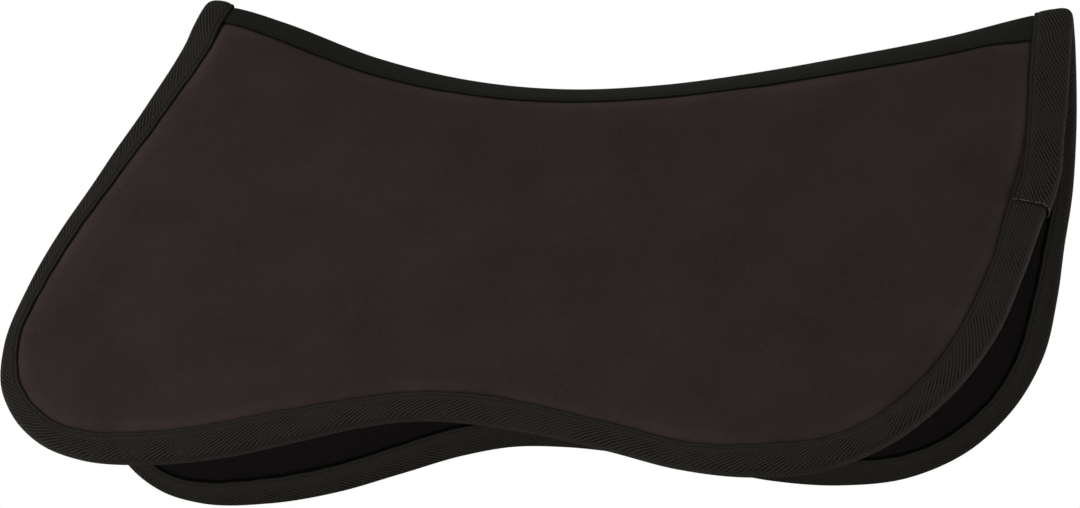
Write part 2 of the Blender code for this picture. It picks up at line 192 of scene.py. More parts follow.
def ridge_point(x, s):
    """Place and downward direction of the cloth on the ridge, and its distance from the seam."""
    curve, length = ridge_curve(x)
    up = np.clip(-s, 0.0, length[:, -1] - 1e-9)
    i = (length <= up[:, None]).sum(axis=1) - 1
    row = np.arange(len(x))
    part = ((up - length[row, i]) / (length[row, i + 1] - length[row, i]))[:, None]
    place = curve[row, i] * (1 - part) + curve[row, i + 1] * part
    last = curve.shape[1] - 1
    before = curve[row, np.clip(i - 1, 0, last)] * (1 - part) + curve[row, i] * part
    after = curve[row, i + 1] * (1 - part) + curve[row, np.clip(i + 2, 0, last)] * part
    return place, unit(before - after), length[:, -1] - up


def wing_point(x, s, side, steps=24):
    """Place and downward direction on a wing: the sum of small steps along a lean that changes smoothly."""
    lean = np.radians(stations(FOLD_LEAN, x))
    own = np.radians(stations(WING_LEAN[side], x))
    part = np.linspace(0.0, 1.0, steps + 1)[None] * s[:, None]
    turn = lean[:, None] + (own - lean)[:, None] * ease(part / EASE_LENGTH) + np.radians(WING_BEND) * part
    ahead = np.stack([np.sin(turn), -np.cos(turn)], -1)
    middle = (ahead[:, 1:] + ahead[:, :-1]) / 2 * (s[:, None, None] / steps)
    return np.array([FOLD_Y, FOLD_Z]) + middle.sum(axis=1), ahead[:, -1]


spread = [round(float(v) * 1000, 1) for v in (RIDGE_LENGTHS.min(), RIDGE_LENGTHS.max())]
print("cloth between the fold line and the seam:", spread, "mm")


# %% Drape flat points
def drape(flat, side):
    """World points of flat points (x, s, h): the cloth's place plus h along its normal, crest rounded.

    The crest is lowered by the seam's slope times the root of y squared plus radius squared, less y.
    """
    flat = np.asarray(flat, float)
    x, s, h = flat.reshape(-1, 3).T
    above = s < 0
    place = np.zeros((len(x), 2))
    out = np.zeros((len(x), 2))
    if above.any():
        place[above], down, to_seam = ridge_point(x[above], s[above])
        normal = np.stack([-down[:, 1], down[:, 0]], -1)
        upright = np.stack([np.zeros_like(to_seam), 1 / normal[:, 1]], -1)
        share = (1 - ease(to_seam / MITRE_LENGTH))[:, None]
        out[above] = normal * (1 - share) + upright * share
    if (~above).any():
        place[~above], down = wing_point(x[~above], s[~above], side)
        out[~above] = np.stack([-down[:, 1], down[:, 0]], -1)
    place = place + out * h[:, None]
    slope = np.tan(np.radians(stations(SEAM_SLOPE, x)))
    place[:, 1] -= slope * (np.hypot(place[:, 0], CREST_RADIUS) - np.abs(place[:, 0]))
    return np.stack([x, side * place[:, 0], place[:, 1]], -1).reshape(flat.shape)


corner = drape([[0.0, 0.2, 0.0]], -1)[0]
print("a point 200 mm down the left wing hangs at", np.round(corner, 4))

# %% [markdown]
# ## The cut edge
# One smooth curve through the edge's points goes from the front tip of the seam round the wing to the rear
# tip. At each of its points the inward direction is known, so every line that runs along the edge, such as
# the tape's inner selvedge or a row of stitches, is the edge moved inwards.
# Each of those lines could be drawn on its own, but moved copies of one curve stay parallel all round.

# %% The edge and lines inside it
EDGE_SAMPLES = 2801
SMOOTHED_OVER = 41


def edge_curve():
    """Dense points of the flat edge past both tips, with the inward direction at each."""
    points = np.array(EDGE_LINE)
    way = travelled(points)
    dense = smooth(way, points, np.linspace(0.0, way[-1], EDGE_SAMPLES))
    window = np.hanning(SMOOTHED_OVER) / np.hanning(SMOOTHED_OVER).sum()
    reach = SMOOTHED_OVER // 2
    padded = np.pad(np.gradient(dense, axis=0), ((reach, reach), (0, 0)), mode="edge")
    along = unit(np.stack([np.convolve(column, window, "valid") for column in padded.T], -1))
    return dense, np.stack([along[:, 1], -along[:, 0]], -1)


EDGE, INWARD = edge_curve()
EDGE_LENGTH = travelled(EDGE)
EDGE_COUNT = np.arange(EDGE_SAMPLES)


def edge_crossings(line, from_seam):
    """First and last place, in samples, where a line along the edge is that far below the seam."""
    below = below_seam(line) - from_seam
    inside = np.flatnonzero(below >= 0)
    first, last = inside[0], inside[-1]
    start = first - below[first] / (below[first] - below[first - 1])
    return start, last + below[last] / (below[last] - below[last + 1])


def edge_distance(flat):
    """Distance of flat points from the edge, inwards from the nearest sample, and that sample's number."""
    points = flat.reshape(-1, flat.shape[-1])[:, :2]
    nearest = np.concatenate([
        np.argmin(((block[:, None] - EDGE[None, ::2]) ** 2).sum(axis=-1), axis=1) * 2
        for block in np.array_split(points, max(1, len(points) // 2000))
    ])
    away = points - EDGE[nearest]
    shape = flat.shape[:-1]
    return (away * INWARD[nearest]).sum(axis=-1).reshape(shape), nearest.reshape(shape)


START, END = edge_crossings(EDGE, 0.0)
START_WAY, END_WAY = [float(way) for way in np.interp([START, END], EDGE_COUNT, EDGE_LENGTH)]
EDGE_WAY = EDGE_LENGTH - START_WAY
print("edge of one half, tip to tip:", round(END_WAY - START_WAY, 3), "m")

# %% [markdown]
# ## How wide the tape lies
# The edge tape was guided by hand round the curves, so more of it lies on the face in one place and more on
# the underside in another. Its width on each side is a smooth curve through a few widths, read at lengths
# of edge from the front tip, with a slow unevenness of a few tenths of a millimetre.
# One width all round would be simpler, but the photograph shows that it changes a good deal.

# %% Widths of the tape along the edge
OVER_WIDTH = (
    (0.00, 0.0214), (0.03, 0.0196), (0.07, 0.0165), (0.12, 0.0149), (0.18, 0.0133), (0.23, 0.0121),
    (0.28, 0.0103), (0.31, 0.0125), (0.35, 0.0152), (0.39, 0.0168), (0.43, 0.0195), (0.49, 0.0214),
    (0.53, 0.0215), (0.57, 0.0182), (0.66, 0.0176), (0.74, 0.0158), (0.80, 0.0160), (0.86, 0.0198),
    (0.92, 0.0192), (0.98, 0.0200), (1.04, 0.0216), (1.11, 0.0212), (1.16, 0.0240), (1.21, 0.0240),
    (1.26, 0.0254), (1.31, 0.0254),
)
UNDER_WIDTH = (
    (0.00, 0.0140), (0.30, 0.0140), (0.38, 0.0146), (0.43, 0.0184), (0.50, 0.0200), (0.56, 0.0215),
    (0.70, 0.0215), (0.88, 0.0218), (0.95, 0.0202), (1.02, 0.0180), (1.09, 0.0160), (1.14, 0.0130),
    (1.31, 0.0125),
)
SEWING_WAVER = 0.0003
WAVER_LENGTHS = (0.037, 0.061)


def width_along(widths):
    """Width at each sample of the edge: a smooth curve, plus the product of two sines of unlike length."""
    turns = [EDGE_WAY * 2 * np.pi / length for length in WAVER_LENGTHS]
    return smooth(*zip(*widths), EDGE_WAY) + SEWING_WAVER * np.sin(turns[0]) * np.sin(turns[1] + 1.0)


WIDTH_OVER = width_along(OVER_WIDTH)
WIDTH_UNDER = width_along(UNDER_WIDTH)
print("tape on the face:", round(WIDTH_OVER.min() * 1000, 1), "to", round(WIDTH_OVER.max() * 1000, 1), "mm")

# %% [markdown]
# ## How full the padding is
# The tape's stitches pinch the padding almost flat. Just inside the tape it swells up in a soft roll, steep
# at first, and from there on it has its full thickness. The same happens on both sides of the spine tape.
# The suede's face and the lining's face follow one formula with their own heights. A ramp is given by its
# start and its length.
# The roll could be sculpted, but a formula of the distance from the tape keeps it even all round.

# %% Heights of the padding's two faces
SPINE_HALF_WIDTH = 0.020
SPINE_TIP_CHANGE = 0.003
SPINE_FRONT_RAMP = (-0.262, 0.075)
SPINE_REAR_RAMP = (0.255, 0.030)
LAYER_INSET = 0.003
RIM_HEIGHT = 0.0038
CREST_HEIGHT = 0.0050
TOP_PINCH = 0.0046
TOP_PINCH_SPINE = 0.0054
TOP_FULL = 0.0090
UNDER_PINCH = 0.0042
UNDER_PINCH_SPINE = 0.0046
UNDER_FULL = 0.0070
ROLL_LENGTH = 0.012
ROLL_POWER = 0.8
SMOOTH_MEET = 0.0012
TIP_RAISE = 0.0002
TIP_RAMP = (0.004, 0.045)
FACES = {
    1: (WIDTH_OVER, CREST_HEIGHT, TOP_PINCH, TOP_PINCH_SPINE, TOP_FULL),
    -1: (WIDTH_UNDER, RIM_HEIGHT, UNDER_PINCH, UNDER_PINCH_SPINE, UNDER_FULL),
}


def spine_half(x, over):
    """Half the width of a spine tape. The upper one is narrower at the front tip and wider at the rear tip."""
    front = 1 - ramp(x, *SPINE_FRONT_RAMP)
    rear = ramp(x, *SPINE_REAR_RAMP)
    return SPINE_HALF_WIDTH + (SPINE_TIP_CHANGE if over == 1 else 0.0) * (rear - front)


def swell(distance, pinched, rim, low, full):
    """Height at a distance inside an edge: rim to low where it is pinched, then a power of a sine up to full."""
    under_tape = rim + (low - rim) * ease(distance / pinched)
    roll = np.sin(np.pi / 2 * np.clip((distance - pinched) / ROLL_LENGTH, 0.0, 1.0)) ** ROLL_POWER
    return np.where(distance < pinched, under_tape, low + (full - low) * roll)


def softer_of(a, b):
    """The smaller of two heights, rounded where they meet."""
    share = np.clip(0.5 + 0.5 * (b - a) / SMOOTH_MEET, 0.0, 1.0)
    return b + (a - b) * share - SMOOTH_MEET * share * (1 - share)


def near_tip(flat):
    """1 at the front tip, fading to 0: the edge lies higher where the thick crest passes under its tape."""
    return np.where(flat[..., 0] < 0, 1 - ramp(below_seam(flat), *TIP_RAMP), 0.0)


def face_height(flat, over):
    """Height of the suede's face (1) or depth of the lining's (-1), and its distance from the nearest tape."""
    widths, crest, low, low_spine, full = FACES[over]
    to_seam = below_seam(flat)
    to_edge, nearest = edge_distance(flat)
    half = spine_half(flat[..., 0], over)
    at_edge = swell(to_edge, widths[nearest], RIM_HEIGHT, low, full)
    at_seam = swell(to_seam, half, crest, low_spine, full)
    if over == 1:
        at_edge = at_edge + TIP_RAISE * near_tip(flat)
    return softer_of(at_edge, at_seam), np.minimum(to_edge - widths[nearest], to_seam - half)


print("padding is", round((TOP_FULL + UNDER_FULL) * 1000, 1), "mm thick where it is full")

# %% [markdown]
# ## Grids become meshes
# Every piece is a grid of points. Two small functions turn grids into closed meshes: one joins a piece's two
# faces round their rim, the other closes a strip's section and caps both of its ends.
# A voxel remesh would close them too, but it would lose thin layers and their UV maps.


# %% Mesh helpers
def make_object(name, points, faces, uv, extra=None):
    """An object at the origin from points, faces of four or three corners, and a UV pair for each point."""
    mesh = bpy.data.meshes.new(name)
    mesh.from_pydata(points.reshape(-1, 3).tolist(), [], faces)
    corners = np.zeros(len(mesh.loops), np.int32)
    mesh.loops.foreach_get("vertex_index", corners)
    layer = mesh.uv_layers.new(name="cloth")
    layer.data.foreach_set("uv", uv.reshape(-1, 2)[corners].astype(np.float32).ravel())
    if extra is not None:
        selvedge = mesh.attributes.new("selvedge", "FLOAT", "POINT")
        selvedge.data.foreach_set("value", extra.reshape(-1).astype(np.float32))
    mesh.polygons.foreach_set("use_smooth", np.ones(len(mesh.polygons), bool))
    mesh.update()
    made = bpy.data.objects.new(name, mesh)
    bpy.context.scene.collection.objects.link(made)
    return made


def grid_faces(numbers):
    """Quads between the neighbours of a table of point numbers."""
    quads = np.stack([numbers[:-1, :-1], numbers[1:, :-1], numbers[1:, 1:], numbers[:-1, 1:]], -1)
    return quads.reshape(-1, 4)


def two_grids(rows, columns):
    """Point numbers of a grid, and of a second grid that follows it."""
    first = np.arange(rows * columns).reshape(rows, columns)
    return first, first + rows * columns


def shell(name, upper, lower, uv, extra):
    """Closed layer: an upper and a lower grid of the same size, joined round their rims."""
    top, under = two_grids(*upper.shape[:2])
    rim = np.concatenate([top[0, :-1], top[:-1, -1], top[-1, :0:-1], top[:0:-1, 0], top[:1, 0]])
    wall = grid_faces(np.stack([rim, rim + top.size]))
    faces = np.concatenate([grid_faces(top), grid_faces(under)[:, ::-1], wall[:, ::-1]])
    return make_object(name, np.stack([upper, lower]), faces.tolist(), np.stack([uv] * 2), np.stack([extra] * 2))


def strip(name, outer, inner, uv, extra):
    """Closed strip: rows across it and columns along it, for both of its faces, capped at its ends."""
    top, under = two_grids(*outer.shape[:2])
    loop = np.concatenate([top, under[::-1], top[:1]])
    caps = [grid_faces(np.stack(pair)) for pair in ((under[:, 0], top[:, 0]), (top[:, -1], under[:, -1]))]
    faces = np.concatenate([grid_faces(loop), *caps])
    made = make_object(name, np.stack([outer, inner]), faces.tolist(), np.stack([uv] * 2), np.stack([extra] * 2))
    sharp_ends(made, outer.shape[1])
    return made


def sharp_ends(obj, columns):
    """Marks the edges round both ends of a strip as sharp, so that a cap doesn't shade the strip's face."""
    mesh = obj.data
    ends = np.zeros(len(mesh.edges) * 2, np.int32)
    mesh.edges.foreach_get("vertices", ends)
    column = ends.reshape(-1, 2) % columns
    at_end = ((column == 0) | (column == columns - 1)).all(axis=1)
    sharp = mesh.attributes.new("sharp_edge", "BOOLEAN", "EDGE")
    sharp.data.foreach_set("value", at_end)


def check_outward(obj):
    """Turns the faces round if the mesh's signed volume is negative: the sum of corner . (corner x corner)."""
    mesh = obj.data
    mesh.calc_loop_triangles()
    corners = np.zeros(len(mesh.loop_triangles) * 3, np.int32)
    mesh.loop_triangles.foreach_get("vertices", corners)
    place = np.zeros(len(mesh.vertices) * 3)
    mesh.vertices.foreach_get("co", place)
    a, b, c = place.reshape(-1, 3)[corners].reshape(-1, 3, 3).transpose(1, 0, 2)
    volume = np.einsum("ij,ij->i", a, np.cross(b, c)).sum() / 6
    if volume < 0:
        mesh.flip_normals()
    return abs(volume) * 1e6


print("a grid of 3 by 4 points has", len(grid_faces(two_grids(3, 4)[0])), "faces")

# %% [markdown]
# ## A grid for one half
# The half is bounded by four lines: the seam, the front edge, the bottom edge and the rear edge. A Coons
# patch fills them in: each point is the sum of the two blends between facing sides, less the blend of the four
# corners. The lines lie closer together near the edges, where the padding is pinched and swells.
# A square grid cut off at the edge would be simpler, but it would leave steps there.

# %% Coons patch of one half
FRONT_CORNER = (-0.3421, 0.2139)
REAR_CORNER = (0.2430, 0.2140)
FINE_STEP = 0.0016
COARSE_STEP = 0.0042
FINE_ZONE = 0.046
HALF_LENGTH = 0.600
HALF_DEPTH = 0.340
GRID_BELOW_SEAM = 0.0006
STEPS_BLENDED = 13
SIDE_PLACES = 900


def crowd(length):
    """Shares from 0 to 1 with fine steps near both ends and coarse ones between."""
    fine = np.full(int(round(FINE_ZONE / FINE_STEP)), FINE_STEP)
    coarse = np.full(max(4, int(round((length - 2 * FINE_ZONE) / COARSE_STEP))), COARSE_STEP)
    steps = np.concatenate([fine, coarse, fine])
    padded = np.pad(steps, STEPS_BLENDED // 2, mode="edge")
    steps = np.convolve(padded, np.full(STEPS_BLENDED, 1 / STEPS_BLENDED), "valid")
    return np.concatenate([[0.0], np.cumsum(steps) / steps.sum()])


def part_of(line, share):
    """Points of a line at shares of its length."""
    way = travelled(line)
    return read_line(share * way[-1], way, line)


def half_grid(inset, from_seam, across, down):
    """Flat points (x, s) of one half inside its edge: rows from the seam to the bottom edge."""
    line = EDGE + INWARD * inset
    start, end = edge_crossings(line, from_seam)
    marks = [int(np.argmin(((EDGE - corner) ** 2).sum(axis=1))) for corner in (FRONT_CORNER, REAR_CORNER)]
    places = [np.linspace(a, b, SIDE_PLACES) for a, b in ((start, marks[0]), marks, (marks[1], end))]
    front, bottom, rear = [read_line(p, EDGE_COUNT, line) for p in places]
    front, bottom, rear = part_of(front, down), part_of(bottom, across), part_of(rear[::-1], down)
    seam_x = front[0, 0] + (rear[0, 0] - front[0, 0]) * across
    seam = np.stack([seam_x, from_seam - ridge_length(seam_x)], -1)
    u = across[None, :, None]
    v = down[:, None, None]
    sides = front[:, None] * (1 - u) + rear[:, None] * u + seam[None] * (1 - v) + bottom[None] * v
    corners = (seam[0] * (1 - u) + seam[-1] * u) * (1 - v) + (bottom[0] * (1 - u) + bottom[-1] * u) * v
    return sides - corners


HALF = half_grid(LAYER_INSET, GRID_BELOW_SEAM, crowd(HALF_LENGTH), crowd(HALF_DEPTH))
turned = np.cross(np.diff(HALF, axis=0)[:, :-1], np.diff(HALF, axis=1)[:-1])
print("grid of one half:", HALF.shape[:2], "cells turned over:", int((turned * turned.mean() < 0).sum()))

# %% [markdown]
# ## One function adds a node
# Each finish below is a small graph of nodes. One function adds a node and fills it in: words in small letters
# are the node's settings, and the others are inputs, which take a value or another node's output. Colours are
# written as they look on screen, in sRGB hex, and one function turns them into the linear values of light.
# The same graphs could be drawn by hand in the shader editor. In a script, one line for each node can be read.


# %% Colour and node helpers
def colour(code):
    """Linear colour of an sRGB hex code."""
    values = np.array([int(code[i:i + 2], 16) for i in (0, 2, 4)]) / 255
    linear = np.where(values <= 0.04045, values / 12.92, ((values + 0.055) / 1.055) ** 2.4)
    return (*[float(v) for v in linear], 1.0)


def fill(node, **given):
    """Gives a node its settings and inputs. An input is its name, or _ and its number; a node is linked."""
    for key, value in given.items():
        if key[0].islower():
            setattr(node, key, value)
            continue
        socket = node.inputs[int(key[1:]) if key[0] == "_" else key.replace("_", " ")]
        if isinstance(value, bpy.types.Node):
            value = next(output for output in value.outputs if output.enabled)
        if isinstance(value, bpy.types.NodeSocket):
            node.id_data.links.new(value, socket)
        else:
            socket.default_value = value
    return node


def add_node(tree, kind, **given):
    """Adds a node of a kind to a tree and fills it in."""
    return fill(tree.nodes.new("ShaderNode" + kind), **given)


def new_material(name):
    """An empty material, its shader, and add_node tied to its nodes."""
    made = bpy.data.materials.new(name)
    made.use_nodes = True
    return made, made.node_tree.nodes["Principled BSDF"], partial(add_node, made.node_tree)


BLACK = colour("000000")
WHITE = colour("ffffff")
print("the grey 808080 is", round(colour("808080")[0], 3), "in linear light")

# %% [markdown]
# ## Microfibre suede
# The real cloth is a brushed polyester microfibre, dyed a purplish brown. Its nap is short and even: light
# catches the fibre tips in a faint mottle a few millimetres wide, over broad clouds where a hand has stroked it
# one way or the other. It has almost no gloss, but a soft sheen where it turns away from the eye.
# Real hairs would need millions of strands. At this distance noise of the same sizes looks alike, so the nap is
# three layers of noise, with a fine bump from two of them.

# %% Suede finish
SUEDE_DARK = colour("221c1b")
SUEDE_MID = colour("292221")
SUEDE_LIGHT = colour("312928")
SUEDE_TIPS = colour("3c3330")
# The palest colour serves both the lint specks and the painted highlight on the roll beside the tapes
SUEDE_LINT_AND_HIGHLIGHT = colour("4a4040")
SUEDE_SHEEN = colour("9a8580")


def suede_finish():
    """Brushed microfibre: dull, since its short nap scatters light, and mottled where fibres lie together."""
    made, shader, add = new_material("microfibre_suede_brushed")
    place = add("TexCoord").outputs["Object"]
    # Clouds of stroked nap, about 45 mm wide, and a mottle of fibre bundles, about 3 mm wide
    clouds = add("TexNoise", Vector=place, Scale=22.0, Detail=3.0, Roughness=0.55)
    mottle = add("TexNoise", Vector=place, Scale=330.0, Detail=4.0, Roughness=0.62)
    # Single fibre tips would be 0.02 mm: drawn 0.7 mm wide, as fine as the render can show
    tips = add("TexNoise", Vector=place, Scale=1400.0, Detail=2.0, Roughness=0.7)
    cloud_share = add("MapRange", Value=clouds, From_Min=0.32, From_Max=0.68)
    mottle_share = add("MapRange", Value=mottle, From_Min=0.30, From_Max=0.72)
    tip_share = add("MapRange", Value=tips, From_Min=0.50, From_Max=0.80)
    base = add("Mix", data_type="RGBA", _0=cloud_share, _6=SUEDE_DARK, _7=SUEDE_MID)
    halfway = add("Math", operation="MULTIPLY", _0=mottle_share, _1=0.42)
    mottled = add("Mix", data_type="RGBA", _0=halfway, _6=base, _7=SUEDE_LIGHT)
    sparse = add("Math", operation="MULTIPLY", _0=tip_share, _1=0.35)
    tipped = add("Mix", data_type="RGBA", _0=sparse, _6=mottled, _7=SUEDE_TIPS)
    # Painted shade: a thin dark line beside a tape. Painted highlight: a patchy paler band on the roll inside it
    seam = add("Attribute", attribute_name="selvedge").outputs["Fac"]
    painted_crease_shade = add("MapRange", interpolation_type="SMOOTHSTEP", Value=seam, From_Min=0.0003, From_Max=0.0022,
                  To_Min=0.66, To_Max=1.0)
    painted_roll_highlight = add("MapRange", interpolation_type="SMOOTHSTEP", Value=seam, From_Min=0.004, From_Max=0.012,
                    To_Min=0.14, To_Max=0.0)
    patchy_roll_highlight = add("Math", operation="MULTIPLY", _0=painted_roll_highlight, _1=cloud_share)
    # A few specks of lint, half a millimetre wide, lie on the nap
    dust = add("TexVoronoi", Vector=place, Scale=130.0)
    near = add("MapRange", Value=dust.outputs["Distance"], From_Min=0.03, From_Max=0.09, To_Min=0.4, To_Max=0.0)
    chosen = add("SeparateColor", Color=dust.outputs["Color"])
    few = add("Math", operation="GREATER_THAN", _0=chosen, _1=0.84)
    # This pale share adds the lint specks to the painted roll highlight
    paling_share = add("Math", operation="MULTIPLY_ADD", _0=near, _1=few, _2=patchy_roll_highlight)
    paler = add("Mix", data_type="RGBA", _0=paling_share, _6=tipped, _7=SUEDE_LINT_AND_HIGHLIGHT)
    shaded = add("Mix", data_type="RGBA", _0=painted_crease_shade, _6=BLACK, _7=paler)
    height = add("Math", operation="MULTIPLY_ADD", _0=mottle, _1=0.6, _2=tips)
    bump = add("Bump", Strength=0.35, Distance=0.0004, Height=height)
    fill(shader, Base_Color=shaded, Normal=bump, Roughness=0.95, Specular_IOR_Level=0.05, Sheen_Weight=0.05,
         Sheen_Roughness=0.45, Sheen_Tint=SUEDE_SHEEN)
    return made


SUEDE = suede_finish()
print("finish:", SUEDE.name, len(SUEDE.node_tree.nodes), "nodes")

# %% [markdown]
# ## Herringbone tape
# The binding is a cotton and polyester twill tape, 50 mm wide before it is folded over the edge. Its slanting
# ribs turn round at the middle of the tape, which lies on the outermost edge, so the ribs lean one way on the
# face and the other way round the rim. Towards both selvedges the tape is woven plainer and looks smoother. The
# thin paler line along the rim is partly rubbed dye and partly painted highlight. The ribs are 2 mm apart.
# Its yarns could be modelled one by one, but there are thousands. A sine along the tape's own UV map draws the
# ribs instead, and a bump lifts them.

# %% Tape finishes
RIB_PITCH = 0.0042
RIB_SLANT = 1.8
SPINE_PITCH = 0.0024
SPINE_SLANT = 1.0
YARN_WOBBLE = 0.0016
CROSSING_PITCH = 0.62
PLAIN_LEVEL = 0.52


def tape_finish(name, gap, rib, wear_and_highlight_colour, pitch, slant, depth, crossed):
    """Ribs are a sine of u less slant times the distance from the tape's middle, over the pitch along it."""
    made, shader, add = new_material(name)
    along, across, _ = add("SeparateXYZ", Vector=add("UVMap", uv_map="cloth")).outputs
    off_middle = add("Math", operation="ABSOLUTE", _0=across)
    edge = add("Attribute", attribute_name="selvedge").outputs["Fac"]
    place = add("TexCoord").outputs["Object"]
    # Yarns are never quite even: a slow wobble moves the ribs by a fraction of their pitch
    wobble = add("TexNoise", Vector=place, Scale=120.0, Detail=2.0)
    moved = add("Math", operation="MULTIPLY_ADD", _0=wobble, _1=YARN_WOBBLE, _2=along)
    slanted = add("Math", operation="MULTIPLY_ADD", _0=off_middle, _1=-slant, _2=moved)
    turn = add("Math", operation="MULTIPLY", _0=slanted, _1=2 * math.pi / pitch)
    wave = add("Math", operation="SINE", _0=turn)
    ribs = add("MapRange", interpolation_type="SMOOTHSTEP", Value=wave, From_Min=-0.75, From_Max=0.75)
    # The second set of yarns crosses the ribs and breaks them into short floats
    crossing = add("Math", operation="MULTIPLY_ADD", _0=off_middle, _1=1.0 / slant, _2=moved)
    cross_turn = add("Math", operation="MULTIPLY", _0=crossing, _1=2 * math.pi / (pitch * CROSSING_PITCH))
    cross_wave = add("Math", operation="SINE", _0=cross_turn)
    floats = add("MapRange", Value=cross_wave, From_Min=-1.0, From_Max=1.0, To_Min=1.0 - crossed, To_Max=1.0)
    woven = add("Math", operation="MULTIPLY", _0=ribs, _1=floats)
    # Towards the selvedge the tape is plain, and under the pad the plain part is wider
    below = add("MapRange", Value=across, From_Min=-0.008, From_Max=-0.002, To_Min=0.55, To_Max=1.0)
    from_selvedge = add("Math", operation="MULTIPLY", _0=edge, _1=below)
    plain = add("MapRange", interpolation_type="SMOOTHSTEP", Value=from_selvedge, From_Min=0.0024,
                From_Max=0.0075)
    # The ribs are clearer in one place than in another
    uneven = add("TexNoise", Vector=place, Scale=45.0, Detail=2.0)
    clear = add("MapRange", Value=uneven, From_Min=0.35, From_Max=0.62, To_Min=0.35, To_Max=1.0)
    inside = add("Math", operation="MULTIPLY", _0=plain, _1=clear)
    # They fade at the rim, where a thin pale band is a painted highlight on top of the random wear
    ribbed = add("MapRange", interpolation_type="SMOOTHSTEP", Value=off_middle, From_Min=0.0022, From_Max=0.0050,
                 To_Min=0.35, To_Max=1.0)
    painted_rim_highlight = add("MapRange", interpolation_type="SMOOTHSTEP", Value=off_middle, From_Min=0.0010, From_Max=0.0022,
               To_Min=1.0, To_Max=0.0)
    shown = add("Math", operation="MULTIPLY", _0=inside, _1=ribbed)
    level = add("Mix", data_type="FLOAT", _0=shown, _2=PLAIN_LEVEL, _3=woven)
    fuzz = add("TexNoise", Vector=place, Scale=900.0, Detail=3.0, Roughness=0.7)
    body = add("Mix", data_type="RGBA", _0=level, _6=gap, _7=rib)
    wear = add("MapRange", Value=fuzz, From_Min=0.45, From_Max=0.75)
    # Random wear pales the face a little everywhere, and the painted rim highlight adds to it
    wear_and_rim_highlight = add("Math", operation="MULTIPLY_ADD", _0=painted_rim_highlight, _1=0.30, _2=0.20)
    wear_and_highlight_share = add("Math", operation="MULTIPLY", _0=wear, _1=wear_and_rim_highlight)
    face = add("Mix", data_type="RGBA", _0=wear_and_highlight_share, _6=body, _7=wear_and_highlight_colour)
    # The selvedge turns down into shade
    turned_down = add("MapRange", interpolation_type="SMOOTHSTEP", Value=edge, From_Min=0.0002, From_Max=0.0012,
                      To_Min=0.35, To_Max=1.0)
    shaded = add("Mix", data_type="RGBA", _0=turned_down, _6=BLACK, _7=face)
    height = add("Math", operation="MULTIPLY_ADD", _0=fuzz, _1=0.25, _2=level)
    bump = add("Bump", Strength=0.9, Distance=depth, Height=height)
    fill(shader, Base_Color=shaded, Normal=bump, Roughness=0.9, Specular_IOR_Level=0.05)
    return made


# Each tape's third colour is for random wear and for the painted highlight along the rim
BINDING = tape_finish("cotton_twill_tape_herringbone", colour("0a0908"), colour("2b2823"), colour("46433c"),
                      RIB_PITCH, RIB_SLANT, 0.00045, 0.30)
SPINE = tape_finish("cotton_twill_tape_fine", colour("11110e"), colour("1b1b17"), colour("2b2a25"),
                    SPINE_PITCH, SPINE_SLANT, 0.00018, 0.60)
print("finishes:", BINDING.name, SPINE.name)

# %% [markdown]
# ## Knit lining, foam and thread
# The lining is a black warp knit: fine upright wales, 1.4 mm apart, crossed by looser courses. The foam is a
# pale grey open cell foam that nobody sees until the pad is taken apart. The thread is a twisted black
# polyester, and its twist shows as a slant on every stitch.
# All three could be modelled loop by loop and cell by cell, but they are too fine for that, so sines, cells
# and noise draw them.

# %% Knit, foam and thread finishes
WALE_PITCH = 0.0014
COURSE_PITCH = 0.0021


def knit_finish():
    """Warp knit: nearly black and dull. Its loops are a sine across plus 0.35 of a sine along the cloth."""
    made, shader, add = new_material("polyester_warp_knit_black")
    across, down, _ = add("SeparateXYZ", Vector=add("UVMap", uv_map="cloth")).outputs
    wale = add("Math", operation="MULTIPLY", _0=across, _1=2 * math.pi / WALE_PITCH)
    course = add("Math", operation="MULTIPLY", _0=down, _1=2 * math.pi / COURSE_PITCH)
    up = add("Math", operation="SINE", _0=wale)
    along = add("Math", operation="SINE", _0=course)
    loops = add("Math", operation="MULTIPLY_ADD", _0=along, _1=0.35, _2=up)
    paling_share = add("TexNoise", Vector=add("TexCoord").outputs["Object"], Scale=500.0, Detail=3.0, Roughness=0.65)
    share = add("MapRange", Value=loops, From_Min=-1.35, From_Max=1.35)
    dusty = add("Math", operation="MULTIPLY", _0=share, _1=paling_share)
    face = add("Mix", data_type="RGBA", _0=dusty, _6=colour("0c0a0b"), _7=colour("1e1a1b"))
    # Beside the tape a dark line of painted shade marks the crease where the knit meets it
    seam = add("Attribute", attribute_name="selvedge").outputs["Fac"]
    painted_crease_shade = add("MapRange", interpolation_type="SMOOTHSTEP", Value=seam, From_Min=0.0005, From_Max=0.0036,
                  To_Min=0.25, To_Max=1.0)
    shaded = add("Mix", data_type="RGBA", _0=painted_crease_shade, _6=BLACK, _7=face)
    bump = add("Bump", Strength=0.6, Distance=0.0003, Height=loops)
    fill(shader, Base_Color=shaded, Normal=bump, Roughness=0.95, Specular_IOR_Level=0.02)
    return made


def foam_finish():
    """Open cell foam: a pale dull body with small darker pores."""
    made, shader, add = new_material("polyurethane_foam_open_cell")
    place = add("TexCoord").outputs["Object"]
    # Cells about 1 mm wide, on a body that yellowed unevenly
    cells = add("TexVoronoi", Vector=place, Scale=900.0)
    stain = add("TexNoise", Vector=place, Scale=30.0, Detail=2.0)
    tone = add("Mix", data_type="RGBA", _0=stain, _6=colour("a9a69b"), _7=colour("bdbab0"))
    pores = add("MapRange", Value=cells, From_Min=0.0, From_Max=0.5)
    face = add("Mix", data_type="RGBA", _0=pores, _6=colour("8b887f"), _7=tone)
    bump = add("Bump", Strength=0.5, Distance=0.0004, Height=cells)
    fill(shader, Base_Color=face, Normal=bump, Roughness=0.95)
    return made


